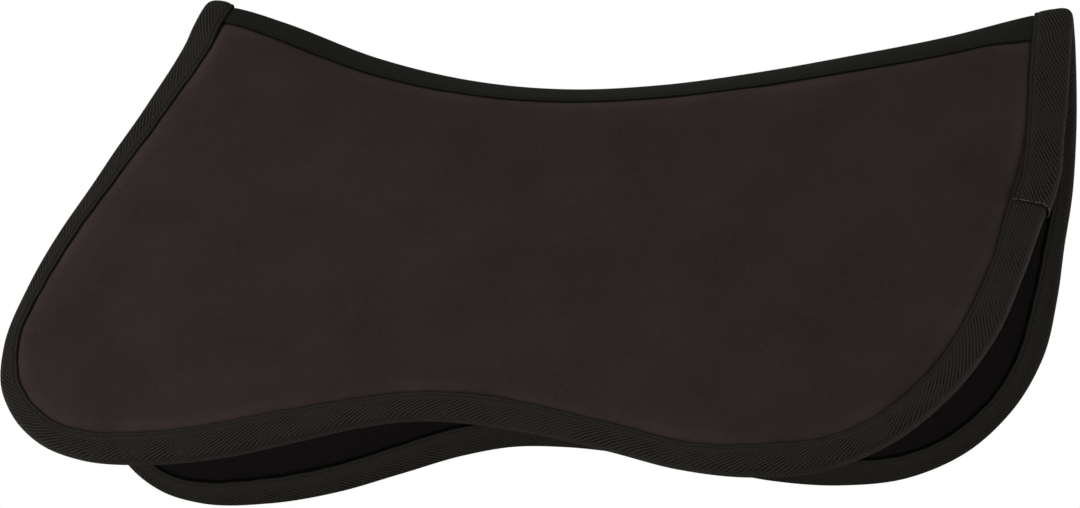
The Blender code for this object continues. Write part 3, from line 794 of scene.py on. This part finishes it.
def thread_finish(name, dark, light):
    """Twisted thread: dull, and paler on top of its plies, which are a sine of length plus half the turn."""
    made, shader, add = new_material(name)
    along, around, _ = add("SeparateXYZ", Vector=add("UVMap", uv_map="cloth")).outputs
    # Four plies to a stitch, laid round it at a slant
    slanted = add("Math", operation="MULTIPLY_ADD", _0=around, _1=0.5, _2=along)
    twist = add("Math", operation="MULTIPLY", _0=slanted, _1=8 * math.pi)
    plies = add("Math", operation="SINE", _0=twist)
    share = add("MapRange", Value=plies, From_Min=-1.0, From_Max=1.0)
    face = add("Mix", data_type="RGBA", _0=share, _6=dark, _7=light)
    fill(shader, Base_Color=face, Roughness=0.95, Specular_IOR_Level=0.05)
    return made


KNIT = knit_finish()
FOAM = foam_finish()
THREAD = thread_finish("polyester_thread_black", colour("0b0a09"), colour("1b1915"))
FIBRE = thread_finish("cotton_yarn_end_pale", colour("3f3d35"), colour("69665a"))
print("finishes:", KNIT.name, FOAM.name, THREAD.name, FIBRE.name)

# %% [markdown]
# ## How each piece is attached
# Ridge and wing turn against each other about the fold line. Each piece gets its finish, its faces turned
# outwards, and the imported parts that it stands for hidden. The spine's pieces are tied to the spine's body,
# and the others are baked into world space.


def attach(obj, side, finish, slot, *nodes):
    """Gives a piece its finish, lets it stand for its nodes, and ties it to the spine's body or bakes it in
    place. The slot is not used.
    """
    obj.data.materials.append(finish)
    volume = check_outward(obj)
    if nodes:
        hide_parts(*nodes)
    if side == 0:
        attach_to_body(obj, "spine")
    else:
        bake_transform(obj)
    print(obj.name, len(obj.data.polygons), "faces", round(volume, 1), "ml")


# %% [markdown]
# ## Let the padding swell
# Real padding pushes its cover out between the seams. Blender's cloth does that here: a copy of the face, a
# little flatter than it will be, is held where the tapes lie and blown outwards without gravity for twenty
# frames. Only how far each point rose is kept, softly capped, and added to the face's height. The copy is
# then deleted, so no cloth modifier stays in the file.

# %% Cloth simulation of one face
PRESSURE = 4.0
SIM_FRAMES = 20
SIM_QUALITY = 6
SIM_MASS = 0.3
RISE_CAP = 0.0016
START_FLATTER = 0.0008
FLATTER_FROM = 0.010
HELD_TO = 0.001


def cloth_copy(points, held, turned):
    """A mesh of a grid of points with a cloth modifier, held where the mask is true; turned flips its faces."""
    faces = grid_faces(two_grids(*points.shape[:2])[0])
    if turned:
        faces = faces[:, ::-1]
    mesh = bpy.data.meshes.new("cloth_copy")
    mesh.from_pydata(points.reshape(-1, 3).tolist(), [], faces.tolist())
    made = bpy.data.objects.new("cloth_copy", mesh)
    bpy.context.scene.collection.objects.link(made)
    group = made.vertex_groups.new(name="held")
    group.add(np.flatnonzero(held.ravel()).tolist(), 1.0, "REPLACE")
    cloth = made.modifiers.new("cloth", "CLOTH")
    cloth.point_cache.frame_start = 1
    cloth.point_cache.frame_end = SIM_FRAMES
    cloth.settings.quality = SIM_QUALITY
    cloth.settings.mass = SIM_MASS
    cloth.settings.vertex_group_mass = "held"
    cloth.settings.use_pressure = True
    cloth.settings.uniform_pressure_force = PRESSURE
    cloth.settings.effector_weights.gravity = 0.0
    return made


def risen(points, outward, held, turned):
    """How far each grid point moves along its outward direction when the cloth is blown up."""
    copy = cloth_copy(points, held, turned)
    for frame_number in range(1, SIM_FRAMES + 1):
        bpy.context.scene.frame_set(frame_number)
    blown = copy.evaluated_get(bpy.context.evaluated_depsgraph_get())
    place = np.zeros(len(blown.data.vertices) * 3)
    blown.data.vertices.foreach_get("co", place)
    bpy.data.objects.remove(copy)
    bpy.context.scene.frame_set(1)
    return ((place.reshape(points.shape) - points) * outward).sum(axis=-1)


def on_half(height, rows=slice(None)):
    """The half's grid, or some rows and columns of it, with a height as third coordinate."""
    return np.concatenate([HALF[rows], height[rows][..., None]], -1)


def swollen(height, bare, side, over):
    """The heights of a face after its simulation on every second line of the grid."""
    rows, columns = [np.append(np.arange(0, count - 1, 2), count - 1) for count in height.shape]
    pick = np.ix_(rows, columns)
    flatter = height - START_FLATTER * ease(bare / FLATTER_FROM)
    low = drape(on_half(over * flatter, pick), side)
    high = drape(on_half(over * (flatter + 0.001), pick), side)
    rise = risen(low, unit(high - low), bare[pick] < HELD_TO, side * over == 1)
    print("free rise", [round(float(v) * 1000, 2) for v in np.percentile(rise, (0, 25, 50, 75, 100))], "mm")
    rise = RISE_CAP * np.tanh(rise / RISE_CAP)
    across = read_line(np.arange(height.shape[1]), columns, rise.T).T
    full = read_line(np.arange(height.shape[0]), rows, across)
    face = "over" if over == 1 else "under"
    print(WORDS[side], "face", face, "rose by", round(float(full.max()) * 1000, 2), "mm")
    return flatter + full


print("each face is blown out for", SIM_FRAMES, "frames at a pressure of", PRESSURE)

# %% [markdown]
# ## Suede, foam and lining
# Three closed layers lie on each other with a hair's breadth between them, and all three come from the one
# grid: only their heights differ. The suede and the lining follow the faces of the padding, and the foam
# fills what is between them, thin at the edge and full in the middle.
# One thick solid would look the same from outside, but layers can be taken apart and have their own materials.

# %% Build the layers
COVER_THICKNESS = 0.0016
LINING_THICKNESS = 0.0014
LAYER_GAP = 0.0002

TOP, TOP_BARE = face_height(HALF, 1)
UNDER, UNDER_BARE = face_height(HALF, -1)
for side, word in WORDS.items():
    over = swollen(TOP, TOP_BARE, side, 1)
    under = swollen(UNDER, UNDER_BARE, side, -1)
    foam_top = over - COVER_THICKNESS - LAYER_GAP
    foam_base = LINING_THICKNESS + LAYER_GAP - under
    for name, high, low, bare, finish, slot in (
        ("suede", over, over - COVER_THICKNESS, TOP_BARE, SUEDE, "cover"),
        ("core", foam_top, foam_base, TOP_BARE, FOAM, "foam"),
        ("knit", LINING_THICKNESS - under, -under, UNDER_BARE, KNIT, "lining"),
    ):
        layer = shell(f"{name}_{word}", drape(on_half(high), side), drape(on_half(low), side), HALF, bare)
        attach(layer, side, finish, slot, f"{slot}_ridge_{word}", f"{slot}_wing_{word}")

# %% [markdown]
# ## Folded edge tape
# The tape is flat webbing, so it is modelled directly. Its section is one line that runs from the inner
# selvedge on the suede, out over the rim and back under the lining, with half of the tape's thickness on
# either side of it. That section is carried along the edge. A shallow groove 2.6 mm from the selvedge is where
# the stitches pull it down, and at both tips the tape climbs over the ends of the spine tape.
# A simulated strip could be folded over the rim, but it wouldn't keep its widths.

# %% Sizes of the tape
TAPE_THICKNESS = 0.0011
TAPE_GAP = 0.00015
SELVEDGE_ROUND = 0.0007
STITCH_INSET = 0.0026
GROOVE_DEPTH = 0.0003
GROOVE_WIDTH = 0.00045
NEAR_SELVEDGE = np.array([0.0, 0.12, 0.35, 0.7, 1.2, 1.7, 2.1, 2.4, 2.6, 2.8, 3.1, 3.6, 4.2]) / 1000
RIM_ROUND = 0.0050
RIM_POWER = 2.8
RIM_SPREAD = 0.007
RIM_LIFT = 0.55
TIP_STEPS = 44
TAPE_STEP = 0.0021
TIP_REACH = 0.058
TIP_CROWN = 0.0017
FACE_CROWN = 0.0006
FRONT_TIP_ROUND = 0.0130
REAR_TIP_ROUND = 0.0125
TIP_ROUND_FADE = 0.040
CLIMB_OVER = 0.0013
CLIMB_UNDER = 0.0010
CLIMB_RAMP = (SPINE_HALF_WIDTH + 0.002, 0.008)
CROWN_POWER = 0.8
FACE_STEPS = 8
RIM_STEPS = 9
print("lines in the first", round(NEAR_SELVEDGE[-1] * 1000, 1), "mm from a selvedge:", len(NEAR_SELVEDGE))


# %% Section of the tape
def tape_centre(width, crown, climb, under_climb, rounding):
    """The section's middle line for each sample of the edge: inset and height.

    On the faces the height is the padding's plus gap, half thickness and a crown; the rim is a superellipse.
    """
    width, under, rounding, crown, climb, under_climb = [
        values[:, None] for values in (width, WIDTH_UNDER, rounding, crown, climb, under_climb)
    ]
    rest = np.linspace(0.0, 1.0, FACE_STEPS + 1)[1:]
    last = NEAR_SELVEDGE[-1]
    near = np.broadcast_to(NEAR_SELVEDGE, (len(width), len(NEAR_SELVEDGE)))
    top_way = np.concatenate([near, last + (width - rounding - last) * rest], axis=1)
    under_way = np.concatenate([near, last + (under - RIM_ROUND - last) * rest], axis=1)
    lift = TAPE_GAP + TAPE_THICKNESS / 2
    top_d = width - top_way
    under_d = under - under_way
    bulge = crown * np.sin(np.pi * np.clip(top_way / width, 0.0, 1.0)) ** CROWN_POWER
    top_h = RIM_HEIGHT + (TOP_PINCH - RIM_HEIGHT) * ease(top_d / width) + lift + bulge + climb
    under_h = RIM_HEIGHT + (UNDER_PINCH - RIM_HEIGHT) * ease(under_d / under) + lift + under_climb
    angle = np.linspace(0.0, np.pi / 2, RIM_STEPS + 1)[1:]
    out = np.sin(angle) ** (2 / RIM_POWER)
    up = np.cos(angle) ** (2 / RIM_POWER)
    low = TAPE_THICKNESS / 2
    rim_over = low + (rounding - low) * (1 - out)
    rim_top = top_h[:, -1:] * up
    rim_under = under_h[:, -1:] * up[:-1]
    rim_below = np.broadcast_to(low + (RIM_ROUND - low) * (1 - out[:-1]), rim_under.shape)
    d = np.concatenate([top_d, rim_over, rim_below[:, ::-1], under_d[:, ::-1]], axis=1)
    h = np.concatenate([top_h, rim_top, -rim_under[:, ::-1], -under_h[:, ::-1]], axis=1)
    return d, h


def tape_profile(selvedge):
    """Half thickness at a distance from the selvedge, a quarter round, and the stitches' groove, a bell."""
    from_round = 1 - np.clip(selvedge / SELVEDGE_ROUND, 0.0, 1.0)
    groove = GROOVE_DEPTH * np.exp(-((selvedge - STITCH_INSET) / GROOVE_WIDTH) ** 2)
    return TAPE_THICKNESS / 2 * np.sqrt(np.clip(1 - from_round ** 2, 0.0009, 1.0)), groove


thin, full = [round(float(v) * 2000, 2) for v in tape_profile(np.array([0.0, NEAR_SELVEDGE[-1]]))[0]]
print("the tape is", thin, "mm thick at its selvedge and", full, "mm inside")


# %% Carry the section along the edge
def along_edge(inset):
    """Sample places along the edge for one row of a strip: its tips end on the seam, the rest is shared."""
    start, end = edge_crossings(EDGE + INWARD * inset[:, None], 0.0)
    below = below_seam(EDGE)
    third = EDGE_SAMPLES // 3
    first = float(np.interp(TIP_REACH, below[:third], EDGE_COUNT[:third]))
    last = float(np.interp(TIP_REACH, below[:-third:-1], EDGE_COUNT[:-third:-1]))
    span = np.interp([first, last], EDGE_COUNT, EDGE_LENGTH)
    shared = np.interp(np.linspace(*span, int((span[1] - span[0]) / TAPE_STEP)), EDGE_LENGTH, EDGE_COUNT)
    return np.concatenate([np.linspace(start, first, TIP_STEPS)[:-1], shared,
                           np.linspace(last, end, TIP_STEPS)[1:]])


def tape_rows(width, lift):
    """Flat points of the tape's outer and inner face, its UV in metres, and the distance from its selvedge."""
    to_seam = below_seam(EDGE)
    tip = near_tip(EDGE)
    over_spine = 1 - ramp(to_seam, *CLIMB_RAMP)
    tip_round = np.where(EDGE[:, 0] < 0, FRONT_TIP_ROUND, REAR_TIP_ROUND)
    rounding = RIM_ROUND + (tip_round - RIM_ROUND) * (1 - ease(to_seam / TIP_ROUND_FADE))
    centre_d, centre_h = tape_centre(width, FACE_CROWN + (TIP_CROWN - FACE_CROWN) * tip,
                                     CLIMB_OVER * over_spine + TIP_RAISE * tip, CLIMB_UNDER * over_spine,
                                     rounding)
    step_d = np.gradient(centre_d, axis=1)
    step_h = np.gradient(centre_h, axis=1)
    size = np.hypot(step_d, step_h)
    piece = np.hypot(np.diff(centre_d, axis=1), np.diff(centre_h, axis=1))
    way = np.concatenate([np.zeros((EDGE_SAMPLES, 1)), np.cumsum(piece, axis=1)], axis=1)
    middle = (centre_d.shape[1] - 1) // 2
    v = way[:, middle:middle + 1] - way
    selvedge = np.minimum(way, way[:, -1:] - way)
    half, groove = tape_profile(selvedge)
    raised = lift[:, None] * (1 + RIM_LIFT * np.exp(-(v / RIM_SPREAD) ** 2))
    found = []
    for k in range(centre_d.shape[1]):
        faces = []
        for reach in (half[:, k] - groove[:, k] + raised[:, k], raised[:, k] - half[:, k]):
            d = centre_d[:, k] + step_h[:, k] / size[:, k] * reach
            h = centre_h[:, k] - step_d[:, k] / size[:, k] * reach
            places = along_edge(d)
            faces.append(read_line(places, EDGE_COUNT, np.column_stack([EDGE + INWARD * d[:, None], h])))
        uv = read_line(places, EDGE_COUNT, np.column_stack([EDGE_LENGTH, v[:, k]]))
        found.append((*faces, uv, np.interp(places, EDGE_COUNT, selvedge[:, k])))
    return [np.stack(rows) for rows in zip(*found)]


TAPE = tape_rows(WIDTH_OVER, np.zeros(EDGE_SAMPLES))
ROWS, COLUMNS = TAPE[0].shape[:2]
print("tape rows and columns:", ROWS, COLUMNS)

# %% [markdown]
# ## One strip, and where its ends meet
# The tape begins on the left wing's rear edge, goes once round the whole pad and ends over its own beginning.
# So the left half has two strips: one that stops just under the overlap, and one that comes down from the rear
# tip, climbs onto the first by a tape's thickness and ends in a cut edge. Towards that end less of it was left
# on the face, so the first strip's selvedge shows beside it. The right half is one strip.
# The tape could run round without an end, but the photograph shows the cut end plainly.

# %% Cut the strips and drape them
OVERLAP_START = 0.008
OVERLAP_END = 0.036
OVERLAP_LIFT = 0.00145
OVERLAP_RAMP = (-0.022, 0.028)
END_NARROWER = 0.0032
NARROWER_RAMP = (-0.030, 0.052)
RIBS_ROUND = math.ceil(2 * END_WAY / RIB_PITCH) * RIB_PITCH


def tape_piece(name, side, rows, first, last):
    """The columns from first to last of the flat tape, draped over one side. The ribs run on round the pad."""
    outer, inner, uv, edge = [r[:, first:last] for r in rows]
    if side == 1:
        uv = uv * [-1.0, 1.0] + [RIBS_ROUND, 0.0]
    return strip(name, drape(outer, side), drape(inner, side), uv, edge)


rear = np.arange(COLUMNS) > COLUMNS // 2
rim_s = TAPE[0][ROWS // 2, :, 1]
begins = int(np.flatnonzero(rear & (rim_s < OVERLAP_START))[0])
ends = int(np.flatnonzero(rear & (rim_s > OVERLAP_END))[-1])
rear_edge = EDGE_COUNT > EDGE_SAMPLES // 2
climb = np.where(rear_edge, OVERLAP_LIFT * ramp(EDGE[:, 1], *OVERLAP_RAMP), 0.0)
drawn_in = np.where(rear_edge, END_NARROWER * ramp(EDGE[:, 1], *NARROWER_RAMP), 0.0)
LIFTED = tape_rows(WIDTH_OVER - drawn_in, climb)
for name, side, rows, first, last, nodes in (
    ("edge_tape_left", -1, TAPE, 0, begins + 1, ("binding_wing_left", "binding_front_arch")),
    ("edge_tape_left_end", -1, LIFTED, ends, COLUMNS, ("binding_overlap_left", "binding_rear_arch")),
    ("edge_tape_right", 1, TAPE, 0, COLUMNS, ("binding_wing_right",)),
):
    attach(tape_piece(name, side, rows, first, last), side, BINDING, "binding", *nodes)

# %% [markdown]
# ## Spine tape
# A flat tape covers the seam on top, and a second one covers the raw edges below. Each is a grid with x along
# the seam and c across it, from one selvedge to the other, laid on the padding's own height. Both ends are
# tucked under the edge tape.
# A bevelled curve would be quicker to make, but it wouldn't lie on the padding.

# %% Build both spine tapes
TUCK = 0.0045
SPINE_COLUMNS = 300
SPINE_UV_START = 0.05
SPINE_INSET = 0.0046
ACROSS = np.linspace(-1.0, 1.0, 41)
SPINE_SHARES = np.concatenate([np.full(len(NEAR_SELVEDGE), -1.0), ACROSS, np.full(len(NEAR_SELVEDGE), 1.0)])
SPINE_INSETS = np.concatenate([NEAR_SELVEDGE, SPINE_INSET * np.abs(ACROSS), NEAR_SELVEDGE[::-1]])


def spine_tape(name, over, node):
    """Strip over the seam (1) or under it (-1): height is the padding's face plus gap and half thickness."""
    found = []
    line = EDGE + INWARD * (FACES[over][0] - TUCK)[:, None]
    for share, inset in zip(SPINE_SHARES, SPINE_INSETS):
        side = -1 if share < 0 else 1
        places = edge_crossings(line, spine_half(line[:, 0], over) * abs(share) - inset)
        x = np.linspace(*np.interp(places, EDGE_COUNT, line[:, 0]), SPINE_COLUMNS)
        c = spine_half(x, over) * abs(share) - inset
        flat = np.stack([x, c - ridge_length(x)], -1)
        selvedge = np.full_like(x, (1 - abs(share)) * SPINE_HALF_WIDTH + inset)
        half, groove = tape_profile(selvedge)
        middle = face_height(flat, over)[0] + TAPE_GAP + TAPE_THICKNESS / 2
        faces = [drape(np.column_stack([flat, over * h]), side) for h in (middle + half - groove, middle - half)]
        found.append((*faces, np.column_stack([x, side * c + SPINE_UV_START]), selvedge))
    outer, inner, uv, edge = [np.stack(rows) for rows in zip(*found)]
    attach(strip(name, outer, inner, uv, edge), 0, SPINE, "spine", node)
    return outer


SPINE_TOP = spine_tape("spine_tape_over_seam", 1, "spine_tape_upper")
SPINE_UNDER = spine_tape("spine_tape_below_seam", -1, "spine_tape_under")

# %% [markdown]
# ## Stitches
# A lockstitch shows as a row of short threads lying in the tape's groove, one every 3.4 mm. Each is a slim
# ellipsoid of a few dozen faces: along times the sine of its latitude, and round times the cosine. All of a
# row's stitches are worked out at once and make one mesh.
# They could be copies of one small object, but one mesh holds them all as a single piece.

# %% Thread rows
STITCH_PITCH = 0.0034
STITCH_LENGTH = 0.0029
THREAD_RADIUS = 0.00022
RINGS = 7
AROUND = 6
GROOVE_ROW = int(np.argmin(np.abs(NEAR_SELVEDGE - STITCH_INSET)))
POLE_RADIUS = 0.02
STITCH_SPAN = 0.001
STITCH_RAISED = 0.2
SPINE_THREAD_LEAN = 0.6


def ellipsoids(name, centre, along, outward, length):
    """One mesh of many slim ellipsoids, given their centres, directions and outward directions."""
    along = unit(along)
    outward = unit(outward - along * (outward * along).sum(axis=1)[:, None])
    beside = np.cross(along, outward)
    a = np.repeat(np.linspace(-np.pi / 2, np.pi / 2, RINGS), AROUND)
    t = np.tile(np.linspace(0, 2 * np.pi, AROUND + 1)[:-1], RINGS)
    count = len(centre)
    length = np.broadcast_to(length, count)[:, None, None]
    ring = outward[:, None] * np.cos(t)[None, :, None] + beside[:, None] * np.sin(t)[None, :, None]
    points = (centre[:, None] + along[:, None] * length / 2 * np.sin(a)[None, :, None]
              + ring * THREAD_RADIUS * np.maximum(np.cos(a), POLE_RADIUS)[None, :, None])
    one = np.arange(len(a)).reshape(RINGS, AROUND)
    quads = grid_faces(np.concatenate([one, one[:, :1]], axis=1)).tolist()
    faces = [[i + len(a) * n for i in face] for n in range(count) for face in (*quads, one[0], one[-1][::-1])]
    uv = np.broadcast_to(np.stack([a / np.pi, t / (2 * np.pi)], -1), (count, len(a), 2))
    return make_object(name, points, faces, uv)


def stitch_row(line, surface_out):
    """Centres, directions and outward directions of stitches along a line of points."""
    way = travelled(line)
    at = np.arange(STITCH_PITCH, way[-1] - STITCH_PITCH, STITCH_PITCH)
    ahead = read_line(at + STITCH_SPAN, way, line)
    behind = read_line(at - STITCH_SPAN, way, line)
    outward = unit(read_line(at, way, surface_out))
    return (ahead + behind) / 2 + outward * THREAD_RADIUS * STITCH_RAISED, ahead - behind, outward


def tape_stitches(side, rows, first, last):
    """Rows of stitches on the face and on the underside of a strip of edge tape."""
    found = []
    for row in (GROOVE_ROW, ROWS - 1 - GROOVE_ROW):
        outer, inner = [drape(face[row, first:last], side) for face in rows[:2]]
        found.append(stitch_row(outer, outer - inner))
    return found


def spine_stitches(grid, over):
    """Rows of stitches along both selvedges of a spine tape."""
    found = []
    for row in (GROOVE_ROW, len(grid) - 1 - GROOVE_ROW):
        line = grid[row, 2:-2]
        out = [0.0, np.sign(line[:, 1].mean()) * SPINE_THREAD_LEAN * over, over]
        found.append(stitch_row(line, np.tile(out, (len(line), 1))))
    return found


for name, side, slot, stitches in (
    ("thread_edge_left", -1, "binding",
     tape_stitches(-1, TAPE, 0, begins - 3) + tape_stitches(-1, LIFTED, ends, COLUMNS)),
    ("thread_edge_right", 1, "binding", tape_stitches(1, TAPE, 0, COLUMNS)),
    ("thread_spine", 0, "spine", spine_stitches(SPINE_TOP, 1.0) + spine_stitches(SPINE_UNDER, -1.0)),
):
    centre, along, outward = [np.concatenate(parts) for parts in zip(*stitches)]
    attach(ellipsoids(name, centre, along, outward, STITCH_LENGTH), side, THREAD, slot)

# %% [markdown]
# ## The cut end of the tape
# Where the tape's end is cut and sewn down, its yarns fray a little and show paler than the dyed face: a row
# of short yarn ends, each turned a little out of line.
# A hair system could grow them, but for forty yarns the stitches' function is enough.

# %% Frayed yarn ends
FRAY_COUNT = 40
FRAY_LENGTHS = (0.0012, 0.0024)
FRAY_FIRST = 0.0003
FRAY_DEPTH = 0.25
FRAY_ROWS_PAST_RIM = 4
FRAY_TURN = 0.3
FRAY_REACH = 0.25


def frayed_end():
    """Short yarn ends along the strip's first column, from the inner selvedge over the rim."""
    reach = ROWS // 2 + FRAY_ROWS_PAST_RIM
    outer, inner = [drape(face[:reach, ends:ends + 3], -1) for face in LIFTED[:2]]
    line = outer[:, 0] * (1 - FRAY_DEPTH) + inner[:, 0] * FRAY_DEPTH
    way = travelled(line)
    seeded = np.random.default_rng(7)
    at = np.sort(seeded.uniform(FRAY_FIRST, way[-1], FRAY_COUNT))
    centre = read_line(at, way, line)
    across = read_line(at + 0.0005, way, line) - centre
    across /= np.maximum(np.linalg.norm(across, axis=1)[:, None], 1e-9)
    outward = unit(read_line(at, way, outer[:, 0] - inner[:, 0]))
    ahead = unit(read_line(at, way, outer[:, 0] - outer[:, 2]))
    lean = seeded.uniform(-1.0, 1.0, (FRAY_COUNT, 1))
    along = across * (1.0 + FRAY_TURN * lean) + ahead * (FRAY_REACH * lean)
    length = seeded.uniform(*FRAY_LENGTHS, FRAY_COUNT)
    return ellipsoids("frayed_tape_end", centre + ahead * 0.0001 + outward * 0.0002, along, outward, length)


attach(frayed_end(), -1, FIBRE, "binding")

# %% [markdown]
# ## Camera
# The photograph was taken with a long lens from about 3 m, slightly below the pad's level and a little to
# its rear, with the camera tilted by 2.3 degrees. The angles were found by laying the part's outline over the
# photograph's.
# A camera could also be matched by eye, but a few degrees of error would change both outlines.

# %% Camera
CAMERA_AZIMUTH = 12.350
CAMERA_ELEVATION = -5.1315
CAMERA_ROLL = 2.3247
CAMERA_DISTANCE = 3.0
CAMERA_TARGET = (-0.036238, 0.0, -0.0978)
METRES_PER_PIXEL = 0.0006636
PICTURE_WIDTH = 1080


def placed(axes, place):
    """World matrix of three axes, given as rows, and a place."""
    whole = np.eye(4)
    whole[:3, :3] = np.stack(axes, -1)
    whole[:3, 3] = place
    return Matrix(whole.tolist())


def aim_camera():
    """Looks back along the direction of azimuth and elevation, with its right and up turned by the roll."""
    a, e, r = np.radians([CAMERA_AZIMUTH, CAMERA_ELEVATION, CAMERA_ROLL])
    back = np.array([np.sin(a) * np.cos(e), -np.cos(a) * np.cos(e), np.sin(e)])
    right = np.array([np.cos(a), np.sin(a), 0.0])
    up = np.cross(back, right)
    data = bpy.data.cameras.new("camera")
    data.sensor_width = 36.0
    data.lens = CAMERA_DISTANCE / METRES_PER_PIXEL / PICTURE_WIDTH * data.sensor_width
    data.clip_end = 100.0
    made = bpy.data.objects.new("camera", data)
    made.matrix_world = placed([np.cos(r) * right + np.sin(r) * up, -np.sin(r) * right + np.cos(r) * up, back],
                               np.array(CAMERA_TARGET) + back * CAMERA_DISTANCE)
    bpy.context.scene.collection.objects.link(made)
    bpy.context.scene.camera = made
    return made


camera = aim_camera()
print("lens:", round(camera.data.lens, 1), "mm at", [round(v, 3) for v in camera.location])

# %% [markdown]
# ## Floor, backdrop and light
# The pad hangs in the picture on plain white, held as on a horse's back, so the floor lies well below it. The
# world is white where the camera, a reflection or a see-through ray meets it, and gives the pad an even
# studio light. Two soft lamps stand beside it, the stronger and nearer one on the left, and a wide one hangs
# above.
# A picture of a room could light it too, but plain lamps are all that the photograph's soft shading shows.

# %% Stage and lights
FLOOR_Z = -0.62
FLOOR_HALF = 6.0
WORLD_LEVEL = 0.33
LAMPS_AIM = (0.0, 0.0, -0.08)


def white_floor():
    """Matt painted floor, with a grain so faint that it only keeps the white from being quite even."""
    made, shader, add = new_material("painted_floor_white")
    grain = add("TexNoise", Vector=add("TexCoord").outputs["Object"], Scale=40.0, Detail=2.0)
    tone = add("Mix", data_type="RGBA", _0=grain, _6=colour("f4f4f3"), _7=colour("f9f9f8"))
    fill(shader, Base_Color=tone, Roughness=0.8)
    corners = np.array([[x, y, FLOOR_Z] for x, y in ((-1, -1), (1, -1), (1, 1), (-1, 1))])
    corners[:, :2] *= FLOOR_HALF
    floor = make_object("floor", corners, [[0, 1, 2, 3]], corners[:, :2])
    floor.data.materials.append(made)


def white_world():
    """Pure white where it is seen, also in a reflection or through something, and dimmer as a light."""
    world = bpy.data.worlds.new("studio")
    bpy.context.scene.world = world
    world.use_nodes = True
    tree = world.node_tree
    light = fill(tree.nodes["Background"], Color=WHITE, Strength=WORLD_LEVEL)
    seen = add_node(tree, "Background", Color=WHITE, Strength=1.0)
    ray = add_node(tree, "LightPath").outputs
    direct = add_node(tree, "Math", operation="MAXIMUM", _0=ray["Is Camera Ray"], _1=ray["Is Glossy Ray"])
    any_ray = add_node(tree, "Math", operation="MAXIMUM", _0=direct, _1=ray["Is Transmission Ray"])
    fill(tree.nodes["World Output"], Surface=add_node(tree, "MixShader", _0=any_ray, _1=light, _2=seen))


def soft_lamp(name, place, size, power):
    """A round lamp that faces a point in the middle of the pad."""
    data = bpy.data.lights.new(name, "AREA")
    data.shape = "DISK"
    data.size = size
    data.energy = power
    made = bpy.data.objects.new(name, data)
    bpy.context.scene.collection.objects.link(made)
    away = np.array(place) - np.array(LAMPS_AIM)
    back = unit(away)
    right = unit(np.cross([0.0, 0.0, 1.0], back))
    made.matrix_world = placed([right, np.cross(back, right), back], place)
    print(name, "stands", round(float(np.linalg.norm(away)), 2), "m away")


white_floor()
white_world()
soft_lamp("left_lamp", (-1.9, -1.1, 0.1), 1.1, 36.0)
soft_lamp("right_lamp", (2.1, -0.5, -0.25), 1.0, 18.0)
soft_lamp("top_lamp", (0.0, -0.9, 2.0), 1.6, 12.0)
bpy.context.scene.view_settings.view_transform = "Standard"
